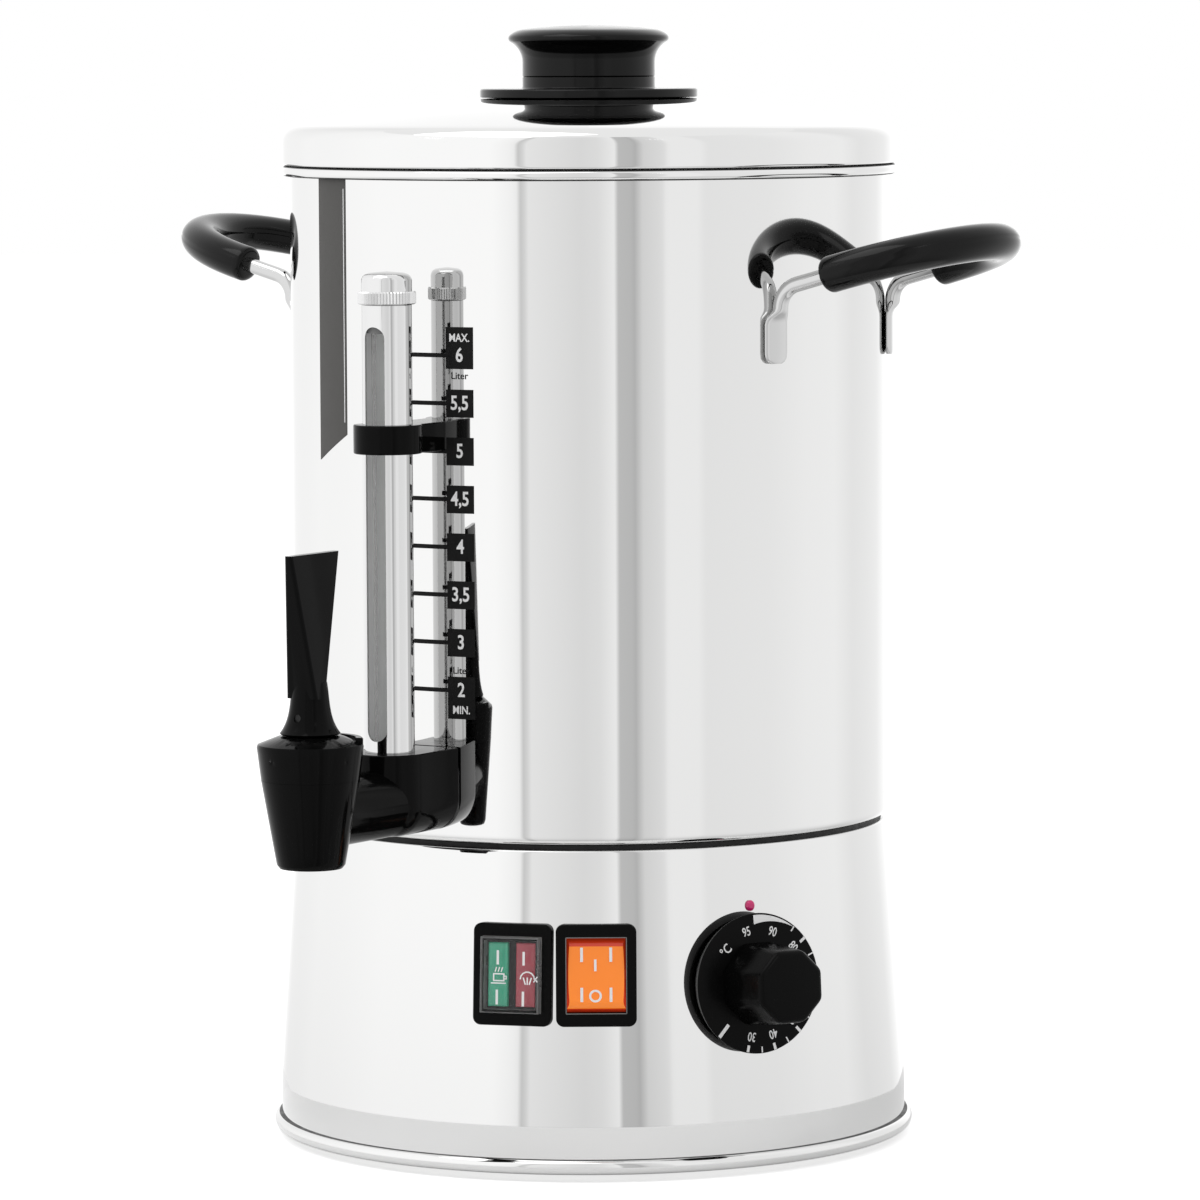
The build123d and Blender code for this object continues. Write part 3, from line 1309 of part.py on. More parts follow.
SPRING_LOW = COLLAR_TOP + 0.7
SPRING_HIGH = SPIGOT_LOW + 14 - 0.7
with BuildPart() as valve_spring:
    with BuildLine() as spring_path:
        Helix(
            pitch=(SPRING_HIGH - SPRING_LOW) / 5.5,
            height=SPRING_HIGH - SPRING_LOW,
            radius=5.0,
            center=(0, VALVE_Y, SPRING_LOW),
        )
    with BuildSketch(Plane(origin=spring_path.line @ 0, z_dir=spring_path.line % 0)):
        Circle(0.55)
    sweep(is_frenet=True)
valve_spring.part.label = "valve_spring"
export_step(valve_spring.part, "parts/valve_spring.step")

LEVER_LOW = BONNET_TOP + 0.3
LEVER_TOP = 206.4
PADDLE_LOW = 155.0


def paddle_section(height):
    """Half thickness across, and the outward and inward reach from the valve axis, at a height."""
    share = (height - 165.0) / 41.0
    return 5.4 - 3.98 * share, 5.5 + 6.25 * share, 2.3 + 13.0 * share


with BuildPart() as tap_lever:
    with BuildSketch(VALVE_SECTION):
        with BuildLine():
            Line((0, LEVER_LOW), (9.0, LEVER_LOW))
            Line((9.0, LEVER_LOW), (9.6, LEVER_LOW + 0.6))
            Line((9.6, LEVER_LOW + 0.6), (9.0, LEVER_LOW + 1.4))
            Spline((9.0, LEVER_LOW + 1.4), (7.2, 154.6), (6.1, 161.0), (5.5, 166.0))
            Line((5.5, 166.0), (0, 168.5))
            Line((0, 168.5), (0, LEVER_LOW))
        make_face()
    revolve(axis=VALVE_AXIS)
    for height in (PADDLE_LOW + 6, LEVER_TOP):
        half, outward, inward = paddle_section(height)
        with BuildSketch(Plane.XY.offset(height)):
            with Locations((0, VALVE_Y + (inward - outward) / 2)):
                RectangleRounded(2 * half, outward + inward, 1.3)
    loft()
    with BuildSketch(Plane.XY.offset(LEVER_LOW)):
        with Locations((0, VALVE_Y)):
            Rectangle(13.2, 6.6)
    with BuildSketch(Plane.XY.offset(LEVER_LOW + 9.4)):
        with Locations((0, VALVE_Y)):
            Rectangle(8.8, 6.6)
    loft(mode=Mode.SUBTRACT)
    with BuildSketch(Plane.XZ.offset(-VALVE_Y - 12)):
        with Locations((0, PIN_Z)):
            Circle(PIN_RADIUS)
    extrude(amount=24, mode=Mode.SUBTRACT)
    with BuildSketch(Plane.XY.offset(LEVER_LOW)):
        with Locations((0, VALVE_Y + 9.3)):
            Rectangle(4.6, 4.0)
    extrude(amount=3.6, mode=Mode.SUBTRACT)
tap_lever.part.label = "tap_lever"
export_step(tap_lever.part, "parts/tap_lever.step")

with BuildPart() as lever_pin:
    with BuildSketch(Plane.XZ.offset(-VALVE_Y - 6.6)):
        with Locations((0, PIN_Z)):
            Circle(PIN_RADIUS)
    extrude(amount=13.2)
lever_pin.part.label = "lever_pin"
export_step(lever_pin.part, "parts/lever_pin.step")
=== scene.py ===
# %% Load the fixed frame
import json
from math import asin, atan, cos, pi, radians, sin, sqrt, tan

import bmesh
import bpy
from mathutils import Matrix, Vector


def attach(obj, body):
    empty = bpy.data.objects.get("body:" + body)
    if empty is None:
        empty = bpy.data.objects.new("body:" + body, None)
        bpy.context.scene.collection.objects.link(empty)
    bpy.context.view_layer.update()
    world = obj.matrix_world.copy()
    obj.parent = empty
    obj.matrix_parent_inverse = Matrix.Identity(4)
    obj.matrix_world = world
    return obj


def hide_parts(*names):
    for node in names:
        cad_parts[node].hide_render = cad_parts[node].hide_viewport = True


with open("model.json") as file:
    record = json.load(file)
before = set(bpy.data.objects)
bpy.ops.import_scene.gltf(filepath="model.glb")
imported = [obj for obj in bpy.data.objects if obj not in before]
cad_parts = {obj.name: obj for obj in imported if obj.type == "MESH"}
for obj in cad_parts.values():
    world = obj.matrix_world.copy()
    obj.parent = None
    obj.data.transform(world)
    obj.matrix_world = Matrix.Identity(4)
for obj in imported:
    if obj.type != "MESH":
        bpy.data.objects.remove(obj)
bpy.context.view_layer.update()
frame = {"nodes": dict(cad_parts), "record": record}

SLOT_OF = {part["node"]: part["material_slot"] for part in frame["record"]["subparts"]}
BODY_OF = {
    node: body
    for body, nodes in frame["record"]["behaviour"]["bodies"].items()
    for node in nodes
}
print("CAD nodes:", len(frame["nodes"]), "bodies:", sorted(set(BODY_OF.values())))

# %% [markdown]
# # A hot water urn
# The urn is a straight stainless tank on a flared base, with a lid, two bail handles, a level
# gauge in front, a lever tap and a row of controls. The engineering model is already in place as
# named nodes. This lesson dresses it: each step makes one visible piece again with a finer
# surface, or gives a node its finish.

# %% The urn's own measures, in millimetres
MM = 0.001
TANK_RADIUS = 100.0
SEAM_Z = 108.3
RIM_Z = 323.8
BASE_TOP = (99.2, 106.9)
BASE_FOOT = (105.8, 7.4)
SHEET = 0.8
FLARE = atan((BASE_FOOT[0] - BASE_TOP[0]) / (BASE_TOP[1] - BASE_FOOT[1]))
GAUGE_Y = -120.8


def base_radius(z):
    """Outside radius of the conical base."""
    share = (BASE_TOP[1] - z) / (BASE_TOP[1] - BASE_FOOT[1])
    return BASE_TOP[0] + share * (BASE_FOOT[0] - BASE_TOP[0])


print("flare of the base:", round(FLARE, 4), "rad")

# %% [markdown]
# ## Finishes
# A finish is a small node tree. Each one starts from the Principled shader, and noise on Object
# coordinates moves its roughness and its bump a little, because no real surface is even. Object
# coordinates don't slide when a piece moves, since every piece sits at the origin.

# %% A base for every finish
FINISHES = {}


def new_material(name):
    """A new material with its nodes and its links."""
    material = bpy.data.materials.new(name)
    material.use_nodes = True
    return material, material.node_tree.nodes, material.node_tree.links


def finish(name, colour, rough, spread=0.02, grain=60.0, bump=0.02, stretch=(1, 1, 1), **sockets):
    """A Principled finish whose roughness runs from rough - spread to rough + spread."""
    material, nodes, links = new_material(name)
    shader = nodes["Principled BSDF"]
    shader.inputs["Base Color"].default_value = (*colour, 1)
    for socket, value in sockets.items():
        shader.inputs[socket.replace("_", " ")].default_value = value
    place = nodes.new("ShaderNodeTexCoord")
    turn = nodes.new("ShaderNodeMapping")
    turn.inputs["Scale"].default_value = stretch
    links.new(place.outputs["Object"], turn.inputs["Vector"])
    noise = nodes.new("ShaderNodeTexNoise")
    noise.inputs["Scale"].default_value = grain
    noise.inputs["Detail"].default_value = 4
    links.new(turn.outputs["Vector"], noise.inputs["Vector"])
    levels = nodes.new("ShaderNodeMapRange")
    levels.inputs["From Min"].default_value = 0.3
    levels.inputs["From Max"].default_value = 0.7
    levels.inputs["To Min"].default_value = max(0.0, rough - spread)
    levels.inputs["To Max"].default_value = rough + spread
    links.new(noise.outputs["Fac"], levels.inputs["Value"])
    links.new(levels.outputs["Result"], shader.inputs["Roughness"])
    if bump:
        relief = nodes.new("ShaderNodeBump")
        relief.inputs["Strength"].default_value = bump
        relief.inputs["Distance"].default_value = 0.0002
        links.new(noise.outputs["Fac"], relief.inputs["Height"])
        links.new(relief.outputs["Normal"], shader.inputs["Normal"])
    FINISHES[name] = material


# %% [markdown]
# ### Metals
# The tank, base and lid are mirror-polished sheet: nearly no roughness, and only the slow waves
# that rolling leaves. Stainless steel gives back about two thirds of the light, so what it
# mirrors is darker than the thing itself, and a mirror image in a mirror darker still. That is
# why its colour is well below white, while the studio round it is bright. Satin steel is the
# same metal with a brushed grain, so its noise is stretched along one axis. Two more finishes
# are painted light and shade for places that little light gets into: a near black painted shade
# for the folds of the sheet, and a grey with a faint painted glow for the inside of the tube.

# %% Metal finishes
finish("polished_steel", (0.65, 0.65, 0.647), 0.03, 0.015, grain=22, bump=0.0, Metallic=1.0)
finish("chrome_tube", (0.6, 0.6, 0.6), 0.05, 0.02, grain=90, bump=0.0, Metallic=1.0)
finish("chrome_rod", (0.5, 0.5, 0.5), 0.05, 0.02, grain=90, bump=0.0, Metallic=1.0)
BRUSHED = dict(grain=240, bump=0.08, stretch=(1, 1, 12))
finish("satin_steel", (0.68, 0.68, 0.67), 0.3, 0.08, Metallic=1.0, **BRUSHED)
finish("steel_hardware", (0.6, 0.6, 0.6), 0.24, 0.06, grain=400, bump=0.05, Metallic=1.0)
finish("black_steel", (0.012, 0.012, 0.012), 0.5, 0.08, grain=300, Specular_IOR_Level=0.2)
# Painted shade: a near black finish for the narrow folds of the sheet, where shade falls.
finish("dark_gap", (0.03, 0.03, 0.03), 0.45, 0.1, grain=300, bump=0.05, Specular_IOR_Level=0.2)
STRAY_LIGHT = dict(Emission_Color=(1, 1, 1, 1), Emission_Strength=0.13)
finish("tube_inside", (0.5, 0.5, 0.5), 0.4, 0.05, bump=0.0, **STRAY_LIGHT)
finish("tank_inside", (0.66, 0.66, 0.65), 0.5, 0.06, grain=240, bump=0.05, Metallic=0.6)
finish("cast_aluminium", (0.7, 0.7, 0.7), 0.5, 0.1, grain=500, bump=0.3, Metallic=1.0)
finish("element_sheath", (0.42, 0.4, 0.37), 0.4, 0.1, grain=160, bump=0.1, Metallic=1.0)
finish("copper", (0.72, 0.42, 0.26), 0.25, 0.08, grain=300, Metallic=1.0)
finish("brass", (0.74, 0.6, 0.32), 0.25, 0.08, grain=300, Metallic=1.0)
print("metals:", len(FINISHES))

# %% [markdown]
# ### Plastics, rubber and glass
# The grips and the knob are black phenolic: glossy, with a faint orange peel from the mould. A
# black that is lit from all sides looks grey if it mirrors too much, so its specular level is
# low. The rocker and the two lenses are clear tinted plastic with a lamp behind them, which a
# little emission stands for.

# %% Plastic finishes
BLACK = dict(Specular_IOR_Level=0.055)
INK_BLACK = (0.002, 0.002, 0.002)
finish("black_phenolic", INK_BLACK, 0.12, 0.04, grain=260, bump=0.04, Specular_IOR_Level=0.16)
finish("black_dial", INK_BLACK, 0.24, 0.05, grain=400, bump=0.05, **BLACK)
finish("black_plastic", INK_BLACK, 0.1, 0.04, grain=300, bump=0.05, **BLACK)
finish("black_satin_plastic", INK_BLACK, 0.3, 0.06, grain=500, bump=0.06, **BLACK)
finish("black_insulation", (0.05, 0.05, 0.05), 0.6, 0.1, grain=400, bump=0.2)
finish("white_insulation", (0.85, 0.84, 0.8), 0.5, 0.1, grain=400, bump=0.2)
finish("silicone", (0.12, 0.12, 0.12), 0.5, 0.08, grain=300, bump=0.1)
finish("black_rubber", (0.03, 0.03, 0.03), 0.7, 0.1, grain=600, bump=0.3)
for wire, colour in (
    ("brown_wire", (0.16, 0.07, 0.03)),
    ("blue_wire", (0.04, 0.1, 0.4)),
    ("green_wire", (0.2, 0.45, 0.08)),
):
    finish(wire, colour, 0.4, 0.08, grain=400, bump=0.1)
for name, colour, rough, spread, glow, strength in (
    # The red of the index stud glows a little, though the stud has no lamp: a painted glow.
    ("red_plastic", (0.5, 0.01, 0.12), 0.15, 0.05, (0.6, 0.02, 0.15, 1), 0.15),
    ("orange_rocker", (0.85, 0.22, 0.01), 0.14, 0.04, (1, 0.2, 0.01, 1), 0.22),
    # The next finish is a darker, redder copy of the rocker's orange for its edges and top band:
    # painted shade, along with the thicker tinted plastic there.
    ("orange_edge", (0.55, 0.035, 0.01), 0.14, 0.04, (0.8, 0.05, 0.01, 1), 0.2),
    ("green_lens", (0.012, 0.26, 0.15), 0.2, 0.05, (0.015, 0.5, 0.28, 1), 0.08),
    ("red_lens", (0.26, 0.02, 0.035), 0.2, 0.05, (0.5, 0.04, 0.07, 1), 0.08),
):
    finish(name, colour, rough, spread, Emission_Color=glow, Emission_Strength=strength)
finish("clear_plastic", (1, 1, 1), 0.04, 0.02, bump=0.0, Transmission_Weight=1.0, IOR=1.3)
finish("frosted_edge", (0.4, 0.4, 0.4), 0.3, 0.05, bump=0.0, Transmission_Weight=0.7, IOR=1.3)
finish("glass", (0.97, 0.975, 0.97), 0.02, 0.01, bump=0.0, Transmission_Weight=1.0, IOR=1.2)
finish("lamp_glass", (0.9, 0.75, 0.6), 0.1, 0.05, Transmission_Weight=0.8, IOR=1.45)
finish("lip_grey", (0.16, 0.155, 0.15), 0.3, 0.06, grain=500, bump=0.05)
finish("white_ink", (0.82, 0.82, 0.82), 0.5, 0.1, grain=600, bump=0.1)
finish("black_ink", (0.012, 0.012, 0.012), 0.35, 0.1, grain=600, bump=0.1, **BLACK)
finish("grey_film", (0.09, 0.088, 0.085), 0.4, 0.05, grain=300, bump=0.0, **BLACK)
print("finishes:", len(FINISHES))

# %% [markdown]
# ### Finishes on the nodes that stay
# Most inner nodes have the right shape already, so they only get the finish that their slot in
# the record names.

# %% Dress every node
for node_name, node in frame["nodes"].items():
    node.data.materials.clear()
    node.data.materials.append(FINISHES[SLOT_OF[node_name]])
print("dressed nodes:", len(frame["nodes"]))

# %% [markdown]
# ## How a piece is finished and placed
# Every piece is made as a bmesh.


# %% Finish a piece
def new_object(name, data):
    """A new object in the scene."""
    made = bpy.data.objects.new(name, data)
    bpy.context.scene.collection.objects.link(made)
    return made


def mesh_object(bm, name):
    """A new object in the scene whose mesh is bm."""
    mesh = bpy.data.meshes.new(name)
    bm.to_mesh(mesh)
    bm.free()
    return new_object(name, mesh)


def make_piece(bm, name, materials, nodes=(), body=None, sharp=32, second=None):
    """Turns a bmesh into a piece of the urn. It rides on its nodes' body if none is named.

    second(centre in millimetres, normal) is true or 1 for faces of the second material, and 2
    for faces of the third.
    """
    for face in bm.faces:
        face.smooth = True
        if second:
            face.material_index = int(second(face.calc_center_median() / MM, face.normal))
    for edge in bm.edges:
        edge.smooth = len(edge.link_faces) == 2 and edge.calc_face_angle(0) < radians(sharp)
    piece = mesh_object(bm, name)
    for material in materials.split():
        piece.data.materials.append(FINISHES[material])
    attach(piece, body or BODY_OF[nodes[0]])
    if nodes:
        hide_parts(*nodes)
    print(name, len(piece.data.polygons), "faces")
    return piece


# %% [markdown]
# ## Turned shapes
# Spun sheet, knobs and tubes are all one outline turned about an axis. The outline is a wire
# through a few points. A corner with a radius is rounded by a vertex bevel, as a lathe tool
# would leave it, and a full spin closes the shape.


# %% Outline and spin
def outline(bm, points, closed=False, segments=6):
    """A wire in the XZ plane through (x, z) or (x, z, corner radius) points."""
    verts = [bm.verts.new((p[0] * MM, 0, p[1] * MM)) for p in points]
    pairs = list(zip(verts, verts[1:]))
    if closed:
        pairs.append((verts[-1], verts[0]))
    for a, b in pairs:
        bm.edges.new((a, b))
    for i, point in enumerate(points):
        if len(point) > 2:
            before = verts[i].co - verts[i - 1].co
            after = verts[(i + 1) % len(verts)].co - verts[i].co
            reach = point[2] * MM * tan(before.angle(after) / 2)
            rounded = bmesh.ops.bevel(
                bm,
                geom=[verts[i]],
                offset=reach,
                offset_type="OFFSET",
                affect="VERTICES",
                segments=segments,
                profile=0.5,
                material=-1,
            )
            verts[i] = rounded["verts"][0]


def spin_round(bm, geom, steps):
    """Turns part of a shape all the way round Z."""
    bmesh.ops.spin(
        bm, geom=geom, cent=(0, 0, 0), axis=(0, 0, 1), angle=2 * pi, steps=steps, use_merge=True
    )


def turned(points, steps=192, sheet=0.0, closed=False, segments=6):
    """The outline turned about Z, with a wall thickness if sheet is given."""
    bm = bmesh.new()
    outline(bm, points, closed, segments)
    spin_round(bm, bm.verts[:] + bm.edges[:], steps)
    bmesh.ops.remove_doubles(bm, verts=bm.verts, dist=1e-6)
    bmesh.ops.recalc_face_normals(bm, faces=bm.faces)
    if sheet:
        bmesh.ops.solidify(bm, geom=bm.faces[:], thickness=sheet * MM)
    return bm


def edges_at(verts):
    """The edges that end at these points, each once and always in the same order."""
    return list(dict.fromkeys(edge for vert in verts for edge in vert.link_edges))


def add_bead(bm, radius, z, thick, steps, segments=16):
    """A round wire ring, such as a rolled edge."""
    ring = bmesh.ops.create_circle(bm, segments=segments, radius=thick * MM)["verts"]
    bmesh.ops.rotate(bm, verts=ring, matrix=Matrix.Rotation(pi / 2, 3, "X"))
    bmesh.ops.translate(bm, verts=ring, vec=(radius * MM, 0, z * MM))
    spin_round(bm, ring + edges_at(ring), steps)


# %% [markdown]
# ## Tank
# The tank is a rolled sheet with its lower edge turned in over the neck and its upper edge
# rolled outwards over a wire. The wall is one tall strip of faces. Close to each bend two narrow
# rows hold the shading straight, or the bend's tilt would run far up the mirror. The outside is
# polished and the inside is left satin, so it gets a finish of its own.

# %% Tank wall with its rolled rim
SEAM_INSIDE = 97.2
TANK_STEPS = 256
wall_rows = [(TANK_RADIUS, z) for z in (111.4, 112.0, 320.6, 321.4, 322.7)]
seam = [(SEAM_INSIDE, SEAM_Z), (TANK_RADIUS, SEAM_Z, 2.6)]
tank = turned(seam + wall_rows, TANK_STEPS, SHEET)
add_bead(tank, TANK_RADIUS + 0.9, RIM_Z, 1.8, TANK_STEPS)
bmesh.ops.recalc_face_normals(tank, faces=tank.faces)


def tank_finish(centre, normal):
    """1 for painted shade on the rim's top, which the hem shades, and the fold under it; 2 inside.
    """
    if centre.z > RIM_Z - 2:
        return 1 if normal.z > 0.64 or normal.z < -0.8 else 0
    return 2 if centre.xy.dot(normal.xy) < 0 else 0


make_piece(
    tank, "tank_wall", "polished_steel dark_gap tank_inside", ["tank_shell"], second=tank_finish
)

# %% [markdown]
# ## Base
# The base is a shallow cone that ends in an upright band, with a wire rolled into its foot. The
# two switch windows are cut out of a band of fine rows by taking faces away, which keeps the
# mirror round them clean. The bezels cover the stepped edges of the windows. Where a rolled edge
# folds back on its wall, the narrow gap gets painted shade: the faces of the foot's wire that
# face up and down take a near black finish.


# %% Local axes on the base
def shift(x, y, z):
    """A move by millimetres."""
    return Matrix.Translation((x * MM, y * MM, z * MM))


def panel(angle, z):
    """Axes on the base's cone: x to the right as seen from outside, y up it, z outwards."""
    a = radians(angle)
    out = Vector((sin(a) * cos(FLARE), -cos(a) * cos(FLARE), sin(FLARE)))
    across = Vector((cos(a), sin(a), 0))
    up = out.cross(across)
    origin = Vector((base_radius(z) * sin(a), -base_radius(z) * cos(a), z))
    return Matrix.Translation(origin * MM) @ Matrix((across, up, out)).transposed().to_4x4()


INDICATOR = panel(17.9, 66.9)
SWITCH = panel(33.0, 66.9)
DIAL = panel(62.3, 62.4)
print("dial centre:", [round(c, 4) for c in DIAL.translation])

# %% Base wall
BAND_TOP = 18
FOOT_RADIUS = base_radius(BAND_TOP)
BEAD_Z = 4.9
BASE_STEPS = 384
CUTOUT = (22.4, 29.6)
fine_rows = [48 + 1.5 * i for i in range(26)]
base = turned(
    [
        *[(FOOT_RADIUS, z) for z in (BEAD_Z, 6.6, 7.8, 16.8, 17.4)],
        (FOOT_RADIUS, BAND_TOP, 0.6),
        *[(base_radius(z), z) for z in (18.6, 19.2, 30, *fine_rows, 104.6, 105.2)],
        (*BASE_TOP, 0.95),
        (SEAM_INSIDE, BASE_TOP[1]),
        (SEAM_INSIDE, 99),
    ],
    BASE_STEPS,
    SHEET,
)
for window in (INDICATOR, SWITCH):
    into = window.inverted()
    cut = []
    for face in base.faces:
        spot = into @ face.calc_center_median() / MM
        if abs(spot.x) < CUTOUT[0] / 2 and abs(spot.y) < CUTOUT[1] / 2 and abs(spot.z) < 6:
            cut.append(face)
    bmesh.ops.delete(base, geom=cut, context="FACES")
add_bead(base, 105.15, BEAD_Z, 2.5, BASE_STEPS)
# The upper and lower faces of the foot's rolled wire get painted shade.
make_piece(
    base,
    "base_wall",
    "polished_steel dark_gap",
    ["base_shell"],
    second=lambda centre, normal: centre.z < 9 and abs(normal.z) > 0.86,
)

# %% [markdown]
# ## Lid
# The lid is a shallow dome with a turned-down edge and a narrow hem. Its rows are close enough
# together for the reflections to bend smoothly over the dome.

# %% Lid sheet
LID_APEX = 348.8
LID_DOME = 500.0
LID_RADIUS, LID_EDGE = 102.7, 325.65


def dome_z(r):
    """Height of the lid's dome at a radius."""
    return LID_APEX - LID_DOME + sqrt(LID_DOME**2 - r**2)


crown = [(r, dome_z(r)) for r in (95.6, 94.8, *range(92, -1, -4))]
hem = [(98.8, LID_EDGE), (LID_RADIUS, LID_EDGE, 1.2)]
skirt = [(LID_RADIUS, z) for z in (327.2, 327.9, 331.2, 331.8)]
shoulder = (LID_RADIUS, dome_z(LID_RADIUS), 5.5)
lid = turned([*hem, *skirt, shoulder, *crown], TANK_STEPS, SHEET)
make_piece(lid, "lid_sheet", "polished_steel", ["lid_shell"])

# %% [markdown]
# ## Lid knob
# The knob is two phenolic mouldings: a flat flange with a short neck, and a head that flares
# out from the neck to a rounded edge. A hair line of a gap between them shows the joint. The
# flange rests on the dome round its middle and stands just clear of it at its rim.

# %% Knob flange
TOUCH = 0.05  # gap left where one piece rests on another
SCREW_HOLE, NECK_RADIUS, FLANGE_RADIUS = 2.7, 22.1, 36.3
FLANGE_LOW, FLANGE_TOP, NECK_TOP = 347.8, 350.7, 354.6
flange = turned(
    [
        *[(r, dome_z(r) + TOUCH) for r in (SCREW_HOLE, 10, 16, 22, 27)],
        (FLANGE_RADIUS, FLANGE_LOW, 0.4),
        (FLANGE_RADIUS, FLANGE_TOP, 0.7),
        (NECK_RADIUS, FLANGE_TOP, 0.8),
        (NECK_RADIUS, NECK_TOP, 0.3),
        (SCREW_HOLE, NECK_TOP),
    ],
    160,
    closed=True,
)
make_piece(flange, "knob_flange_turned", "black_phenolic", ["knob_flange"])

# %% Knob head
FLARE_ARC, FLARE_FOOT = 7.6, 359.6
HEAD_LOW, HEAD_TOP = 354.65, 371.7
joint = [(0, HEAD_LOW), (NECK_RADIUS, HEAD_LOW, 0.4)]
sweep = [
    (NECK_RADIUS + FLARE_ARC - FLARE_ARC * cos(t), FLARE_FOOT + FLARE_ARC * sin(t))
    for t in map(radians, range(0, 64, 9))
]
rounded_edge = [(27.4, 367.3, 1.4), (24.9, 370.0, 4.0)]
cap = [(r, HEAD_TOP - r * r / 377.0) for r in (20, 16, 12, 8, 4, 0)]
head = turned([*joint, *sweep, *rounded_edge, *cap], 160)
make_piece(head, "knob_head", "black_phenolic", ["lid_knob"])

# %% [markdown]
# ## Handles
# Each handle is a chromed rod. Its ends are flattened and welded to the tank, it bends outwards
# and runs on as a half circle inside a moulded grip. One ring of points is drawn down into the
# flattened end, up round the bend and round half of the bow. A mirror makes the other half.

# %% Bow of one handle
ROD = 2.5
SPREAD = 36.4
ROD_AXIS = TANK_RADIUS + TOUCH + ROD
LEG = (sqrt(ROD_AXIS**2 - SPREAD**2), -SPREAD)
BOW_CENTRE = Vector((116.0, 0, 292.0))
RISE = radians(15.1)
BOW_OUT = Vector((cos(RISE), 0, sin(RISE)))
BOW_UP = Vector((-sin(RISE), 0, cos(RISE)))
BEND = 8.0
TURN = pi / 2 - RISE
BEND_Z = BOW_CENTRE.z - (BOW_CENTRE.x - LEG[0]) * tan(RISE) - BEND * tan(TURN / 2)
# Rings of a flattened end: how low, half thickness, half width, how far inwards and aside.
FLATTENED = [
    (1.0, 2.4, 2.75, 0.1, -0.1),
    (2.0, 2.05, 3.4, 0.4, -0.4),
    (3.0, 1.6, 4.1, 0.85, -0.7),
    (4.2, 1.3, 4.4, 1.2, -0.85),
    (5.4, 1.2, 4.5, 1.3, -0.9),
    (14.6, 1.2, 4.5, 1.3, -0.9),
    (16.2, 1.2, 4.2, 1.3, -0.9),
    (17.3, 1.15, 3.4, 1.3, -0.9),
    (17.9, 0.95, 2.3, 1.3, -0.9),
]


def new_verts(result, key="geom"):
    """The points among what an operator returns."""
    return [g for g in result[key] if isinstance(g, bmesh.types.BMVert)]


def new_edges(result, key="geom"):
    """The edges among what an operator returns."""
    return [g for g in result[key] if isinstance(g, bmesh.types.BMEdge)]


def draw_on(bm, edges):
    """Draws edges on by a new row, and gives the row's points and its edges."""
    result = bmesh.ops.extrude_edge_only(bm, edges=edges)
    return new_verts(result), new_edges(result)


def bow():
    """Rod of the right-hand handle."""
    bm = bmesh.new()
    ring = bmesh.ops.create_circle(bm, segments=24, radius=ROD * MM)["verts"]
    top = loop = bm.edges[:]
    thin, wide, low, inwards, aside = ROD, ROD, 0.0, 0.0, 0.0
    for new_low, new_thin, new_wide, new_inwards, new_aside in FLATTENED:
        verts, loop = draw_on(bm, loop)
        middle = Matrix.Translation((inwards * MM, -aside * MM, 0))
        bmesh.ops.scale(bm, verts=verts, vec=(new_thin / thin, new_wide / wide, 1), space=middle)
        step = ((inwards - new_inwards) * MM, (new_aside - aside) * MM, (low - new_low) * MM)
        bmesh.ops.translate(bm, verts=verts, vec=step)
        thin, wide, low = new_thin, new_wide, new_low
        inwards, aside = new_inwards, new_aside
    bmesh.ops.edgeloop_fill(bm, edges=loop)
    angle = asin(LEG[1] / ROD_AXIS)
    bmesh.ops.rotate(bm, verts=bm.verts, matrix=Matrix.Rotation(angle, 3, "Z"))
    bmesh.ops.translate(bm, verts=bm.verts, vec=Vector((*LEG, BEND_Z)) * MM)
    bend = bmesh.ops.spin(
        bm,
        geom=ring + top,
        cent=Vector((LEG[0] + BEND, LEG[1], BEND_Z)) * MM,
        axis=(0, 1, 0),
        angle=TURN,
        steps=10,
    )
    straight = (BOW_CENTRE.x - LEG[0]) / cos(RISE) - BEND * tan(TURN / 2)
    verts, loop = draw_on(bm, new_edges(bend, "geom_last"))
    bmesh.ops.translate(bm, verts=verts, vec=BOW_OUT * straight * MM)
    bmesh.ops.spin(
        bm,
        geom=verts + loop,
        cent=BOW_CENTRE * MM,
        axis=BOW_UP,
        angle=pi / 2,
        steps=16,
    )
    bmesh.ops.mirror(bm, geom=bm.verts[:] + bm.edges[:] + bm.faces[:], axis="Y", merge_dist=2e-6)
    bmesh.ops.remove_doubles(bm, verts=bm.verts, dist=2e-6)
    bmesh.ops.recalc_face_normals(bm, faces=bm.faces)
    return bm


def to_the_left(bm):
    """Turns a right-hand piece into the left-hand one."""
    bmesh.ops.scale(bm, verts=bm.verts, vec=(-1, 1, 1))
    bmesh.ops.recalc_face_normals(bm, faces=bm.faces)
    return bm


print("each bow stands", round(LEG[0], 2), "mm from the middle")
make_piece(bow(), "bow_right", "chrome_rod", ["handle_bow_right"], sharp=50)
make_piece(to_the_left(bow()), "bow_left", "chrome_rod", ["handle_bow_left"], sharp=50)

# %% [markdown]
# The grip is an oval section spun round the bow's half circle. Two points of the section are
# drawn in a little: they leave the parting line of the mould along the inside and the outside.
# The ends run back along the rod and are drawn in over a few rings to a blunt rounded face.


# %% Grip of one handle
GRIP_ENDS = ((1.2, 1.0), (0.5, 0.975), (0.55, 0.93), (0.35, 0.84), (0.1, 0.7))


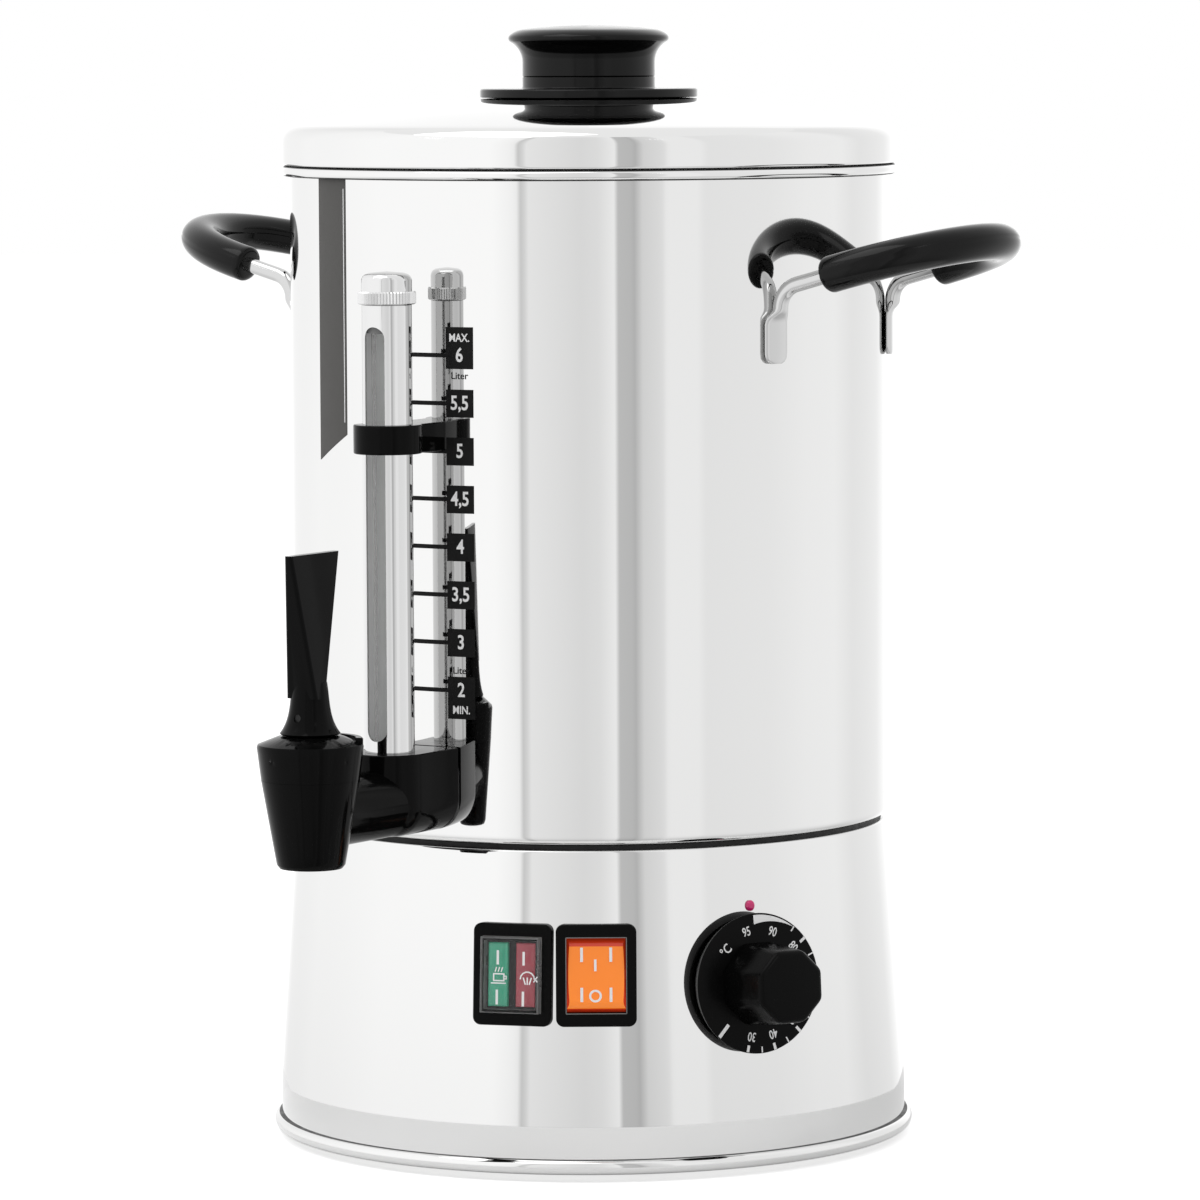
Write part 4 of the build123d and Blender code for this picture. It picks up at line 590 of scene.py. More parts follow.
def grip():
    """Grip of the right-hand handle."""
    bm = bmesh.new()
    ring = bmesh.ops.create_circle(bm, segments=56, radius=MM)["verts"]
    ordered = sorted(ring, key=lambda v: abs(v.co.y))
    bmesh.ops.scale(bm, verts=ring, vec=(6.8, 6.0, 1))
    for vert in ordered[:2]:
        vert.co.x *= 0.972
    edges = bm.edges[:]
    stand = Matrix((BOW_OUT.cross(BOW_UP), BOW_UP, BOW_OUT)).transposed()
    centre = BOW_CENTRE + Vector((0, -SPREAD, 0))
    bmesh.ops.rotate(bm, verts=ring, matrix=stand)
    bmesh.ops.translate(bm, verts=ring, vec=centre * MM)
    arc = bmesh.ops.spin(
        bm, geom=ring + edges, cent=BOW_CENTRE * MM, axis=BOW_UP, angle=pi, steps=64
    )
    far_edges = new_edges(arc, "geom_last")
    far_centre = BOW_CENTRE + Vector((0, SPREAD, 0))
    for loop, middle in ((edges, centre), (far_edges, far_centre)):
        for back, share in GRIP_ENDS:
            verts, loop = draw_on(bm, loop)
            bmesh.ops.translate(bm, verts=verts, vec=-BOW_OUT * back * MM)
            mean = sum((v.co for v in verts), Vector()) / len(verts)
            bmesh.ops.scale(bm, verts=verts, vec=(share,) * 3, space=Matrix.Translation(-mean))
        bmesh.ops.edgeloop_fill(bm, edges=loop)
    bmesh.ops.recalc_face_normals(bm, faces=bm.faces)
    return bm


make_piece(grip(), "grip_right", "black_phenolic", ["handle_grip_right"], sharp=40)
make_piece(to_the_left(grip()), "grip_left", "black_phenolic", ["handle_grip_left"], sharp=40)

# %% [markdown]
# ## Level gauge
# The glass stands in a chromed tube with a long slot towards the front. A Boolean modifier cuts
# the slot: the cutter is a rounded bar, made of a rounded outline with depth. The result is
# stored as the piece's mesh, and the cutter is thrown away.


# %% Slotted tube
TUBE_LOW, TUBE_TOP, TUBE_RADIUS = 139.65, 283.1, 8
SLOT_LOW, SLOT_TOP, SLOT_HALF = 143.5, 276.1, 3.75


def to_the_gauge(bm):
    """Moves a turned shape from the Z axis to the gauge's axis."""
    bmesh.ops.translate(bm, verts=bm.verts, vec=(0, GAUGE_Y * MM, 0))
    return bm


def cut_out(bm, cutter):
    """What is left of bm when the cutter is taken away from it."""
    objects = [mesh_object(part, "part") for part in (bm, cutter)]
    boolean = objects[0].modifiers.new("cut", "BOOLEAN")
    boolean.operation = "DIFFERENCE"
    boolean.object = objects[1]
    depsgraph = bpy.context.evaluated_depsgraph_get()
    result = bmesh.new()
    result.from_mesh(objects[0].evaluated_get(depsgraph).to_mesh())
    for scrap in objects:
        bpy.data.objects.remove(scrap)
    return result


tube = turned(
    [
        *[(TUBE_RADIUS, z) for z in (TUBE_LOW, 282.2, 282.6)],
        (TUBE_RADIUS, TUBE_TOP, 0.3),
        (TUBE_RADIUS - SHEET, TUBE_TOP),
        (TUBE_RADIUS - SHEET, TUBE_LOW),
    ],
    128,
    closed=True,
)
to_the_gauge(tube)
slot_bar = bmesh.new()
corners = ((-1, SLOT_LOW), (1, SLOT_LOW), (1, SLOT_TOP), (-1, SLOT_TOP))
slot_outline = [(way * SLOT_HALF, z, 3.74) for way, z in corners]
outline(slot_bar, slot_outline, closed=True, segments=10)
side = bmesh.ops.edgeloop_fill(slot_bar, edges=slot_bar.edges[:])["faces"]
deep = bmesh.ops.extrude_face_region(slot_bar, geom=side)
bmesh.ops.translate(slot_bar, verts=new_verts(deep), vec=(0, -12 * MM, 0))
bmesh.ops.recalc_face_normals(slot_bar, faces=slot_bar.faces)
to_the_gauge(slot_bar)
make_piece(
    cut_out(tube, slot_bar),
    "slotted_tube",
    "chrome_tube tube_inside",
    ["gauge_shield"],
    second=lambda centre, normal: (centre.xy - Vector((0, GAUGE_Y))).length < 7.4,
)

# %% Gauge glass
GLASS_LOW, GLASS_TOP = 131.2, 280
glass = turned(
    [(5, GLASS_LOW, 0.3), (5, GLASS_TOP, 0.4), (3.8, GLASS_TOP, 0.4), (3.8, GLASS_LOW, 0.3)],
    64,
    closed=True,
    segments=3,
)
make_piece(to_the_gauge(glass), "sight_glass", "glass", ["gauge_glass"])

# %% [markdown]
# The cap has a knurled rim, for the fingers, under a plain rounded top. The knurl is a ring with
# every other point drawn in, drawn upwards and chamfered by a last narrower ring.

# %% Knurled cap
cap_plug = [(0, 281), (7.0, 281), (7.0, 287.0)]
cap_top = [(8.1, 287.0), (8.1, 292.3, 2.2), (5.6, 293.2), (0, 293.7)]
cap_bm = turned(cap_plug + cap_top, 96, segments=8)
knurl = bmesh.ops.create_circle(cap_bm, segments=104, radius=9.05 * MM)["verts"]
for vert in sorted(knurl, key=lambda v: Vector((1, 0)).angle_signed(v.co.xy, 0))[::2]:
    vert.co *= 0.955
bmesh.ops.translate(cap_bm, verts=knurl, vec=(0, 0, 283.15 * MM))
loop = edges_at(knurl)
bmesh.ops.edgeloop_fill(cap_bm, edges=loop)
for rise, share in ((0.35, 1.035), (3.4, 1.0), (0.4, 0.965)):
    verts, loop = draw_on(cap_bm, loop)
    bmesh.ops.scale(cap_bm, verts=verts, vec=(share, share, 1))
    bmesh.ops.translate(cap_bm, verts=verts, vec=(0, 0, rise * MM))
bmesh.ops.scale(cap_bm, verts=knurl, vec=(0.965, 0.965, 1))
bmesh.ops.edgeloop_fill(cap_bm, edges=loop)
bmesh.ops.recalc_face_normals(cap_bm, faces=cap_bm.faces)
make_piece(
    to_the_gauge(cap_bm),
    "knurled_cap",
    "chrome_tube steel_hardware",
    ["gauge_cap"],
    sharp=28,
    second=lambda centre, normal: centre.z < 287.3,
)

# %% [markdown]
# ## Moulded pieces
# The tap, the clamp, the bezels and the rocker already have their moulded shape in the frame. A
# copy of each is merged into one skin, its flat areas are made one face again, and a small bevel
# catches the light along the edges. Working on a copy keeps every seat and window where the
# engineering model has it.


# %% Softened copies of moulded nodes
def moulded(node, name, materials, soften=0.25, sharp=28):
    """A merged copy of a node with softened edges."""
    bm = bmesh.new()
    bm.from_mesh(frame["nodes"][node].data)
    bmesh.ops.remove_doubles(bm, verts=bm.verts, dist=2e-6)
    bmesh.ops.dissolve_limit(bm, angle_limit=radians(0.4), verts=bm.verts, edges=bm.edges)
    piece = make_piece(bm, name, materials, [node], sharp=sharp)
    if soften:
        bevel = piece.modifiers.new("soft edge", "BEVEL")
        bevel.width = soften * MM
        bevel.segments = 2
        bevel.limit_method = "ANGLE"
        bevel.angle_limit = radians(sharp)
        bevel.harden_normals = True
    return piece


moulded("tap_bonnet", "bonnet", "black_plastic", 0.3)
moulded("tap_lever", "lever", "black_plastic", 0.35)
moulded("gauge_clamp", "tube_clamp", "black_plastic", 0.2)
moulded("switch_housing", "switch_bezel", "black_satin_plastic", 0.15)
moulded("indicator_housing", "indicator_bezel", "black_satin_plastic", 0.15)
moulded("indicator_green_lens", "green_lens", "green_lens", 0.1)
moulded("indicator_red_lens", "red_lens", "red_lens", 0.1)
cover = moulded("indicator_cover", "clear_cover", "clear_plastic frosted_edge", 0.0)
moulded("tap_body", "tap_casting", "black_plastic", 0.3)

# %% [markdown]
# ## Windows
# The two windows are what the eye goes to first. The indicator has a clear cover whose sides are
# frosted, so only its front is looked through. The rocker is tinted plastic with a lamp inside:
# its broad front glows orange, and its edges and top band get a darker, redder copy of that
# finish, which is painted shade as well as the thicker plastic there. The faces get one of the
# two finishes by where they lie. A thin grey lip runs round each window.

# %% Frosted sides of the clear cover
outwards = INDICATOR.to_3x3() @ Vector((0, 0, 1))
for polygon in cover.data.polygons:
    polygon.material_index = 0 if abs(polygon.normal.dot(outwards)) > 0.9 else 1
print("frosted faces:", sum(p.material_index == 1 for p in cover.data.polygons))

# %% Rocker with a lighter front and painted shade on its edges
PIVOT = -3.2
TILT = radians(8)
rocker_frame = SWITCH @ shift(0, 0, PIVOT) @ Matrix.Rotation(-TILT, 4, "X")
into_rocker = rocker_frame.inverted()
rocker = moulded("switch_rocker", "rocker", "orange_rocker orange_edge", 0.3)
# Faces off the broad front, its top band too, get the darker copy: painted shade.
for polygon in rocker.data.polygons:
    spot = into_rocker @ polygon.center / MM
    front = spot.z > 4.5 and spot.y < 8.6 and abs(spot.x) < 8.4
    polygon.material_index = 0 if front else 1
print("front faces:", sum(p.material_index == 0 for p in rocker.data.polygons))

# %% Lip round the two windows
LIP_WIDTH, LIP_HEIGHT, LIP_FRONT, LIP_THICK = 19.5, 24.5, 2.42, 0.28
lips = bmesh.new()
for window in (SWITCH, INDICATOR):
    for x, y, width, height in (
        (0, LIP_HEIGHT / 2, LIP_WIDTH, LIP_THICK),
        (0, -LIP_HEIGHT / 2, LIP_WIDTH, LIP_THICK),
        (LIP_WIDTH / 2, 0, LIP_THICK, LIP_HEIGHT),
        (-LIP_WIDTH / 2, 0, LIP_THICK, LIP_HEIGHT),
    ):
        made = bmesh.ops.create_cube(lips, size=1)["verts"]
        bmesh.ops.scale(lips, verts=made, vec=(width * MM, height * MM, 0.12 * MM))
        bmesh.ops.transform(lips, verts=made, matrix=window @ shift(x, y, LIP_FRONT))
make_piece(lips, "window_lips", "lip_grey", body="urn")

# %% [markdown]
# ## Dial
# The dial is a thin dished skirt with an eight-sided hub to hold. The hub is an octagon drawn
# out with a little draft, and a bevel rounds its long edges and its rim.

# %% Dial
DIAL_FRONT = 5.4
HUB_HALF, HUB_LOW, HUB_HEIGHT, HUB_DRAFT, HUB_ROUNDING = 13.2, 5.2, 20.9, 0.88, 1.7
skirt_front = [(0, DIAL_FRONT), (23, DIAL_FRONT, 0.5)]
skirt_back = [(21.2, 0.8, 0.3), (19.6, 0.8), (19.6, 3.8), (0, 3.8)]
dial = turned(skirt_front + skirt_back, 160, segments=4)
to_corner = HUB_HALF / cos(pi / 8) * MM
hub = bmesh.ops.create_circle(dial, cap_ends=True, segments=8, radius=to_corner)["verts"]
bmesh.ops.rotate(dial, verts=hub, matrix=Matrix.Rotation(pi / 8, 3, "Z"))
bmesh.ops.translate(dial, verts=hub, vec=(0, 0, HUB_LOW * MM))
drawn = bmesh.ops.extrude_face_region(dial, geom=hub[0].link_faces[:])
hub_top = new_verts(drawn)
bmesh.ops.scale(dial, verts=hub_top, vec=(HUB_DRAFT, HUB_DRAFT, 1))
bmesh.ops.translate(dial, verts=hub_top, vec=(0, 0, HUB_HEIGHT * MM))
bmesh.ops.bevel(
    dial,
    geom=edges_at(hub_top),
    offset=HUB_ROUNDING * MM,
    offset_type="OFFSET",
    affect="EDGES",
    segments=6,
    profile=0.5,
    material=-1,
)
bmesh.ops.recalc_face_normals(dial, faces=dial.faces)
bmesh.ops.transform(dial, verts=dial.verts, matrix=DIAL)
make_piece(dial, "dial", "black_dial", ["thermostat_knob"], sharp=25)

# %% [markdown]
# The index is a small red stud fixed in the base above the dial. It is a low button, a little
# taller than wide, turned from a rounded outline.

# %% Index stud
STUD_RADIUS, STUD_LOW, STUD_TOP = 1.35, 0.02, 1.3
stud_side = [(STUD_RADIUS, STUD_LOW), (STUD_RADIUS, STUD_TOP, 0.8)]
stud = turned([(0, STUD_LOW), *stud_side, (0, STUD_TOP)], 48, segments=5)
bmesh.ops.scale(stud, verts=stud.verts, vec=(1.1, 1.3, 1))
bmesh.ops.transform(stud, verts=stud.verts, matrix=DIAL @ shift(0.9, 24.9, 0))
# The stud's red finish carries a faint painted glow; it has no lamp.
make_piece(stud, "index_dot", "red_plastic", ["index_stud"])

# %% [markdown]
# ## Printed marks
# Marks are thin raised shapes, a few hundredths of a millimetre high, so that they take light as
# ink does and never flicker. Letters start as text, are made a mesh, and only then are placed.
# Three kinds of place are needed: flat on a panel, flat on the dial, and wrapped round the tank.


# %% Marks
def bar(bm, x, y, width, height, matrix, turn=0.0, rise=0.05):
    """A flat bar centred at x, y on a panel."""
    made = bmesh.ops.create_cube(bm, size=1)["verts"]
    bmesh.ops.scale(bm, verts=made, vec=(width * MM, height * MM, rise * MM))
    bmesh.ops.rotate(bm, verts=made, matrix=Matrix.Rotation(turn, 3, "Z"))
    bmesh.ops.translate(bm, verts=made, vec=(x * MM, y * MM, 0))
    bmesh.ops.transform(bm, verts=made, matrix=matrix)


def words(bm, text, size, place, width=0.8, bold=0.02):
    """Text as a mesh. place turns each of its points, in millimetres, into a point of the urn."""
    curve = bpy.data.curves.new("words", "FONT")
    curve.body = text
    curve.size = size
    curve.offset = bold * size
    curve.align_x = "CENTER"
    curve.align_y = "CENTER"
    curve.resolution_u = 3
    holder = bpy.data.objects.new("words", curve)
    mesh = bpy.data.meshes.new_from_object(holder)
    bpy.data.objects.remove(holder)
    before = set(bm.verts)
    bm.from_mesh(mesh)
    for vert in bm.verts:
        if vert not in before:
            vert.co = place(vert.co.x * width, vert.co.y)


def on_panel(matrix, x=0.0, y=0.0, turn=0.0):
    """A place function for text that lies flat at x, y."""
    spin = Matrix.Rotation(turn, 4, "Z")

    def place(u, v):
        return matrix @ ((spin @ Vector((u, v, 0)) + Vector((x, y, 0))) * MM)

    return place


def on_tank(angle, z, lift=0.08):
    """A place function that wraps text round the tank at an angle and a height."""

    def place(u, v):
        a = radians(angle) + u / TANK_RADIUS
        reach = (TANK_RADIUS + lift) * MM
        return Vector((reach * sin(a), -reach * cos(a), (z + v) * MM))

    return place


def patch(bm, angle, z, width, height, lift=0.04, slant=0.0):
    """A thin film wrapped round the tank. slant lowers its lower edge towards the right."""
    made = bmesh.ops.create_grid(bm, x_segments=16, y_segments=1, size=0.5)["verts"]
    place = on_tank(angle, z, lift)
    for vert in made:
        u, v = vert.co.x, vert.co.y
        vert.co = place(u * width, v * height - slant * (0.5 - v) * (u + 0.5))


# %% [markdown]
# ### Level scale
# Eight marks stand for half-litre steps. Each is a black box with its figure left white, and a
# line that runs from the box to the gauge tube. The step is the same all the way down, so one
# loop draws them all.

# %% Level scale
MARKS = ["6", "5,5", "5", "4,5", "4", "3,5", "3", "2"]
TOP_MARK = 266.1
STEP = 15.44
SCALE_ANGLE, LINE_ANGLE = 7.6, 0.9
BOX_WIDTH, LINE_LENGTH, LINE_THICK = 9.8, 13.6, 1.4
boxes, figures, small = bmesh.new(), bmesh.new(), bmesh.new()
for index, figure in enumerate(MARKS):
    z = TOP_MARK - STEP * index
    height, middle = 9.0, z
    if figure == "6":
        height, middle = 13.5, z + 2.4
        words(figures, "MAX.", 3.6, on_tank(SCALE_ANGLE, z + 5.6, 0.12), 0.86)
    if figure == "2":
        height, middle = 13.7, z - 2.4
        words(figures, "MIN.", 3.6, on_tank(SCALE_ANGLE, z - 6.4, 0.12), 0.86)
    patch(boxes, SCALE_ANGLE, middle, BOX_WIDTH, height)
    patch(boxes, LINE_ANGLE, z, LINE_LENGTH, LINE_THICK)
    words(figures, figure, 6.4, on_tank(SCALE_ANGLE, z, 0.12), 0.84)
for z in (TOP_MARK - 6.6, TOP_MARK - 7 * STEP + 6.4):
    words(small, "Liter", 3.2, on_tank(SCALE_ANGLE, z, 0.08), 1.0, 0.01)
for sheet in (boxes, small):
    bmesh.ops.recalc_face_normals(sheet, faces=sheet.faces)
make_piece(boxes, "scale_boxes", "black_ink", body="urn")
make_piece(figures, "scale_figures", "white_ink", body="urn")
make_piece(small, "scale_words", "black_ink", body="urn")

# %% [markdown]
# A plain dark grey band with a slanted lower end is stuck on left of the gauge. A thin light line
# runs down its right edge.

# %% Plain band beside the gauge
band = bmesh.new()
patch(band, -24.85, 276.0, 17, 92, lift=0.1, slant=-9)
make_piece(band, "side_band", "grey_film", body="urn")
edge_line = bmesh.new()
patch(edge_line, -20.6, 281.0, 0.4, 76, lift=0.16)
make_piece(edge_line, "side_band_line", "white_ink", body="urn")

# %% [markdown]
# ### Dial figures
# The figures follow the dial's rim clockwise from the index, with a heavy tick for each and a
# fine one between. The thick line is the off position. A white wedge that thins out along the
# rim starts at the index.

# %% Dial figures and ticks
FIGURES = ("95", "90", "80", "70", "60", "50", "40", "30")
FIGURE_ANGLES = (-13, 20, 51, 80, 108, 136, 164, 191)
OFF_ANGLE = 223.6
dial_face = DIAL @ shift(0, 0, DIAL_FRONT + 0.03)
dial_marks = bmesh.new()


def round_dial(angle, radius):
    """x and y of a point on the dial, clockwise from its top."""
    return radius * sin(radians(angle)), radius * cos(radians(angle))


for figure, angle in zip(FIGURES, FIGURE_ANGLES):
    x, y = round_dial(angle, 17.3)
    words(dial_marks, figure, 4.2, on_panel(dial_face, x, y, -radians(angle)), 0.74, 0.012)
    x, y = round_dial(angle + 2, 21.4)
    if angle > 40:
        bar(dial_marks, x, y, 0.95, 2.2, dial_face, -radians(angle + 2))
        x, y = round_dial(angle - 12, 21.5)
        bar(dial_marks, x, y, 0.45, 1.9, dial_face, -radians(angle - 12))
x, y = round_dial(-46, 16.4)
words(dial_marks, "°C", 4.6, on_panel(dial_face, x, y, radians(44)), 0.8, 0.012)
x, y = round_dial(OFF_ANGLE, 19.9)
bar(dial_marks, x, y, 1.2, 5.2, dial_face, -radians(OFF_ANGLE))
wedge = bmesh.ops.create_grid(dial_marks, x_segments=20, y_segments=1, size=0.5)["verts"]
for vert in wedge:
    along, inside = vert.co.x + 0.5, 0.5 - vert.co.y
    x, y = round_dial(-3 + 42 * along, 22.2 - 3.0 * inside * (1 - along))
    vert.co = dial_face @ (Vector((x, y, 0)) * MM)
make_piece(dial_marks, "dial_marks", "white_ink", body="dial")

# %% [markdown]
# ### Marks on the switch and the two lenses
# The rocker has four moulded ribs, a line for on and a ring for off. The cover has a cup with
# steam over the green lens, for ready, and a steam cloud over the red one, for heating.

# %% Rocker marks
rocker_face = rocker_frame @ shift(0, 0, 5.62)
rocker_marks = bmesh.new()
for x in (-4.7, 4.7):
    for y in (6.0, -6.9):
        bar(rocker_marks, x, y, 0.9, 4.6, rocker_face, rise=0.3)
bar(rocker_marks, -0.3, 2.6, 0.8, 3.8, rocker_face, rise=0.3)
RING_RIM = [(1.35, -0.15), (2.05, -0.15), (2.05, 0.15), (1.35, 0.15)]
ring = turned(RING_RIM, 40, closed=True)
bmesh.ops.transform(ring, verts=ring.verts, matrix=rocker_face @ shift(-0.3, -7.3, 0))
make_piece(rocker_marks, "rocker_marks", "white_ink", body="rocker")
make_piece(ring, "rocker_ring", "white_ink", body="rocker")

# %% Lens marks
COVER_FRONT = 6.25
cover_face = INDICATOR @ shift(0, 0, COVER_FRONT)
lens_marks = bmesh.new()
RIBS = [(-3.7, 5.8, 4.6), (-3.9, -7.0, 4.8), (4.9, 5.6, 4.4), (4.8, -7.4, 4.8)]
ICONS = [(x, y, 0.8, height, 0) for x, y, height in RIBS]
ICONS += [(-3.3, -1.7, 3.4, 0.45, 0), (-3.3, 0.5, 3.4, 0.45, 0)]  # foot and rim of the cup
ICONS += [(-5.0, -0.6, 0.45, 2.6, 0), (-1.6, -0.6, 0.45, 2.6, 0)]  # its sides
ICONS += [(-1.2, -0.2, 0.9, 0.35, 0), (-1.2, -1.1, 0.9, 0.35, 0), (-0.8, -0.65, 0.35, 1.2, 0)]
ICONS += [(-3.4, -2.5, 5.0, 0.4, 0)]  # saucer
ICONS += [(x, 1.9, 0.35, 1.6, -0.3) for x in (-4.3, -3.3, -2.3)]  # steam over the cup
for step in range(7):  # arch of the cloud
    turn = radians(-78 + 26 * step)
    ICONS.append((6.2 + 2.3 * sin(turn), -1.0 + 2.3 * cos(turn), 1.15, 0.45, -turn))
ICONS += [(x, -1.6, 0.45, 2.4, turn) for x, turn in ((5.2, 0.3), (6.2, 0), (7.2, -0.3))]
ICONS += [(8.9, -1.0, 0.4, 2.2, 0.6), (8.9, -1.0, 0.4, 2.2, -0.6)]  # cross beside it
for x, y, width, height, turn in ICONS:
    bar(lens_marks, x, y, width, height, cover_face, turn)
make_piece(lens_marks, "lens_marks", "white_ink", body="urn")

# %% [markdown]
# ## Studio
# The floor and the world are white for the camera and through the glass, while the light that
# they add stays low, so pale steel keeps its tones. Polished metal shows only what stands round
# it, and a plain white studio would leave it flat. So a round screen of soft greys stands round
# the urn: it has the lighter and darker bands that studio boards leave in a mirror, and it
# darkens downwards. Only reflections see it. Of the floor they see a disc close to the urn.


# %% White floor
def seen_by_eye(nodes, links, in_metal):
    """1 for camera and transmission rays, in_metal for glossy rays, 0 for the rest."""
    path = nodes.new("ShaderNodeLightPath")
    total = path.outputs["Is Camera Ray"]
    for name, share in (("Is Transmission Ray", 1.0), ("Is Glossy Ray", in_metal)):
        part = nodes.new("ShaderNodeMath")
        part.operation = "MULTIPLY"
        links.new(path.outputs[name], part.inputs[0])
        part.inputs[1].default_value = share
        most = nodes.new("ShaderNodeMath")
        most.operation = "MAXIMUM"
        links.new(total, most.inputs[0])
        links.new(part.outputs[0], most.inputs[1])
        total = most.outputs[0]
    return total


def stage_object(bm, name, material):
    """Part of the studio."""
    stand = mesh_object(bm, name)
    stand.data.materials.append(material)
    print("studio:", name)
    return stand


def only_in_mirrors(stand):
    """Leaves part of the studio to reflections alone."""
    stand.visible_camera = False
    stand.visible_diffuse = False
    stand.visible_transmission = False
    stand.visible_shadow = False


def floor_paint(name, glow_level, in_metal):
    """Matt white paint that glows a little for what looks at it, but lights nothing."""
    material, nodes, links = new_material(name)
    paint = nodes["Principled BSDF"]
    paint.inputs["Base Color"].default_value = (0.84, 0.84, 0.84, 1)
    paint.inputs["Roughness"].default_value = 0.8
    paint.inputs["Specular IOR Level"].default_value = 0.0
    paint.inputs["Emission Color"].default_value = (1, 1, 1, 1)
    glow = nodes.new("ShaderNodeMath")
    glow.operation = "MULTIPLY"
    glow.inputs[1].default_value = glow_level
    links.new(seen_by_eye(nodes, links, in_metal), glow.inputs[0])
    links.new(glow.outputs[0], paint.inputs["Emission Strength"])
    return material


AHEAD = 32.4  # degrees from the tap to the camera
FLOOR_GLOW = 0.62
floor_bm = bmesh.new()
bmesh.ops.create_circle(floor_bm, cap_ends=True, segments=64, radius=9)
floor = stage_object(floor_bm, "floor", floor_paint("floor_paint", FLOOR_GLOW, 0.0))
floor.visible_glossy = False
near_bm = bmesh.new()
bmesh.ops.create_circle(near_bm, cap_ends=True, segments=96, radius=0.2)
near_floor = stage_object(near_bm, "near_floor", floor_paint("near_floor_paint", FLOOR_GLOW, 0.4))
near_floor.location = (0.015 * sin(radians(AHEAD)), -0.015 * cos(radians(AHEAD)), 0.0002)
only_in_mirrors(near_floor)

# %% World
world = bpy.data.worlds.new("studio")
bpy.context.scene.world = world
world.use_nodes = True
nodes, links = world.node_tree.nodes, world.node_tree.links
level = nodes.new("ShaderNodeMapRange")
level.inputs["To Min"].default_value = 0.55
level.inputs["To Max"].default_value = 1.0
level.clamp = False
links.new(seen_by_eye(nodes, links, 1.5), level.inputs["Value"])
links.new(level.outputs["Result"], nodes["Background"].inputs["Strength"])
nodes["Background"].inputs["Color"].default_value = (1, 1, 1, 1)
print("light from the world:", level.inputs["To Min"].default_value)

# %% Round screen of greys
SCREEN_RADIUS, SCREEN_LOW, SCREEN_HEIGHT = 0.62, -0.5, 1.5
# Degrees round the screen from the camera, growing to its right, and the grey there.
GREYS = [
    (-180, 0.86), (-150, 0.8), (-120, 0.94), (-80, 1.0), (-34, 1.0), (-27, 0.93), (-24.5, 0.86),
    (-23.8, 0.55), (-22.8, 0.6), (-22, 0.82), (-12, 0.77), (-3, 0.72), (3, 0.75), (8.5, 0.86),
    (9.3, 0.52), (14, 0.5), (16, 0.45), (17.6, 0.66), (25, 0.74), (27, 0.86), (38, 0.86), (41, 0.8),
    (66, 0.82), (84, 0.87), (100, 0.88), (112, 0.8), (135, 0.82), (152, 0.97), (180, 0.9),
]
SHADE = (-0.45, 0.12, 0.9, 1.44)  # from this height to this one, from this strength to this one


def screen_material():
    """Emission whose grey follows the angle round the screen."""
    material, nodes, links = new_material("screen_greys")
    nodes.remove(nodes["Principled BSDF"])
    place = nodes.new("ShaderNodeTexCoord")
    turn = nodes.new("ShaderNodeMapping")
    turn.inputs["Rotation"].default_value = (0, 0, radians(-(AHEAD - 90)))
    links.new(place.outputs["Object"], turn.inputs["Vector"])
    angle = nodes.new("ShaderNodeTexGradient")
    angle.gradient_type = "RADIAL"
    links.new(turn.outputs["Vector"], angle.inputs["Vector"])
    ramp = nodes.new("ShaderNodeValToRGB")
    while len(ramp.color_ramp.elements) < len(GREYS):
        ramp.color_ramp.elements.new(0.5)
    for stop, (degrees_round, grey) in zip(ramp.color_ramp.elements, GREYS):
        stop.position = degrees_round / 360 + 0.5
        stop.color = (grey, grey, grey, 1)
    links.new(angle.outputs["Fac"], ramp.inputs["Fac"])
    split = nodes.new("ShaderNodeSeparateXYZ")
    links.new(place.outputs["Object"], split.inputs["Vector"])
    shade = nodes.new("ShaderNodeMapRange")
    shade.interpolation_type = "SMOOTHSTEP"
    for socket, value in zip(("From Min", "From Max", "To Min", "To Max"), SHADE):
        shade.inputs[socket].default_value = value
    links.new(split.outputs["Z"], shade.inputs["Value"])
    glow = nodes.new("ShaderNodeEmission")
    links.new(ramp.outputs["Color"], glow.inputs["Color"])
    links.new(shade.outputs["Result"], glow.inputs["Strength"])
    links.new(glow.outputs[0], nodes["Material Output"].inputs["Surface"])
    return material


screen_bm = bmesh.new()
bmesh.ops.create_circle(screen_bm, segments=180, radius=SCREEN_RADIUS)
raised = draw_on(screen_bm, screen_bm.edges[:])[0]
bmesh.ops.translate(screen_bm, verts=raised, vec=(0, 0, SCREEN_HEIGHT))
bmesh.ops.translate(screen_bm, verts=screen_bm.verts, vec=(0, 0, SCREEN_LOW))
screen = stage_object(screen_bm, "screen", screen_material())
only_in_mirrors(screen)
print("greys round the screen:", len(GREYS))

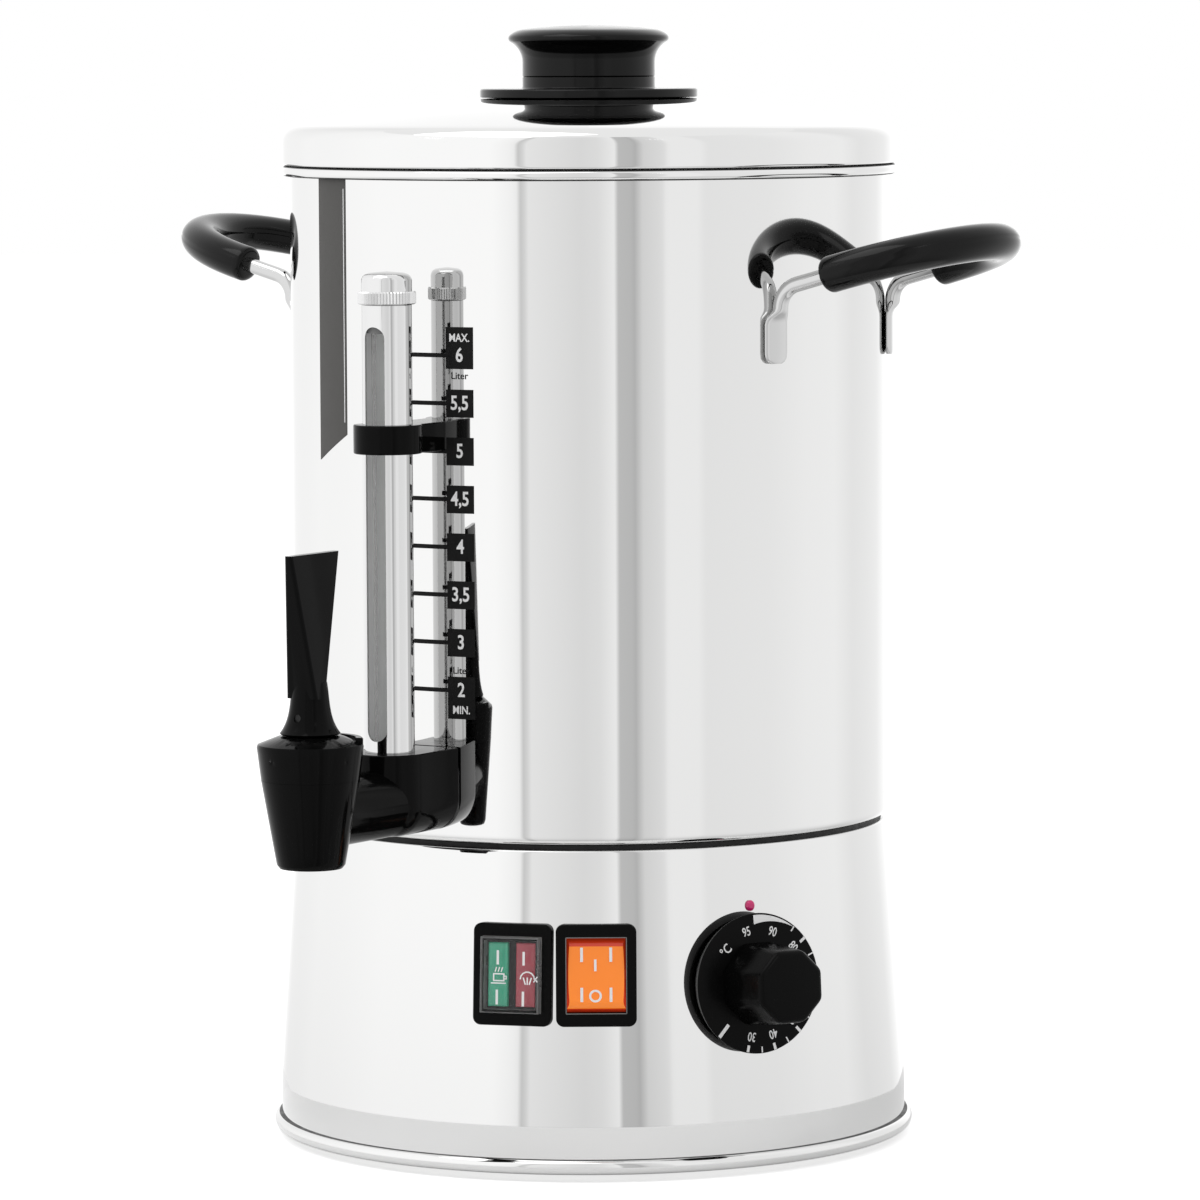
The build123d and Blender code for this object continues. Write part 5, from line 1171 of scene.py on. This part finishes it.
# %% [markdown]
# Three broad lamps light the urn from above and from both sides. Two small ones leave the narrow
# highlights on the black mouldings. Their places are in metres and their power is in watts.

# %% Soft lamps
for name, place, size, power in (
    ("lamp_over", (-0.5, -0.9, 2.2), 1.6, 16),
    ("lamp_left", (-1.9, -1.2, 1.3), 1.2, 9),
    ("lamp_right", (1.9, 0.2, 1.5), 1.2, 7),
    ("strip_left", (-0.9, -1.3, 1.5), 0.22, 3.0),
    ("strip_right", (1.5, -0.9, 1.4), 0.22, 2.5),
):
    lamp = bpy.data.lights.new(name, "AREA")
    lamp.size = size
    lamp.energy = power
    holder = new_object(name, lamp)
    holder.location = place
    towards = Vector((0, 0, 0.2)) - Vector(place)
    holder.rotation_euler = towards.to_track_quat("-Z", "Y").to_euler()
    print(name, power, "W")

# %% [markdown]
# ## Camera
# A long lens stands level with the lid's knob and looks slightly down. From so far away, the
# upright edges stay nearly parallel. FOCAL is the lens's focal length in pixels, for a picture
# that is PICTURE pixels wide.

# %% Camera
DISTANCE = 2.158
EYE = 0.3673
FOCAL, PICTURE = 6445, 1200
yaw, pitch, roll = atan(8.9 / FOCAL), radians(4.98), radians(0.26)
lens = bpy.data.cameras.new("camera")
lens.sensor_width = 36
lens.lens = 36 * FOCAL / PICTURE
camera = new_object("camera", lens)
a = radians(AHEAD)
place = Vector((sin(a) * DISTANCE, -cos(a) * DISTANCE, EYE))
aim = Matrix.Rotation(a - yaw, 4, "Z") @ Matrix.Rotation(pi / 2 - pitch, 4, "X")
camera.matrix_world = Matrix.Translation(place) @ aim @ Matrix.Rotation(-roll, 4, "Z")
bpy.context.scene.camera = camera
bpy.context.scene.view_settings.view_transform = "Standard"
bpy.context.view_layer.update()
for point in ((0, GAUGE_Y, TUBE_LOW), (0, GAUGE_Y, TUBE_TOP)):
    seen = camera.matrix_world.inverted() @ (Vector(point) * MM)
    across, down = -FOCAL * seen.x / seen.z, FOCAL * seen.y / seen.z
    print(point, "is seen at", [round(PICTURE / 2 + offset, 1) for offset in (across, down)])
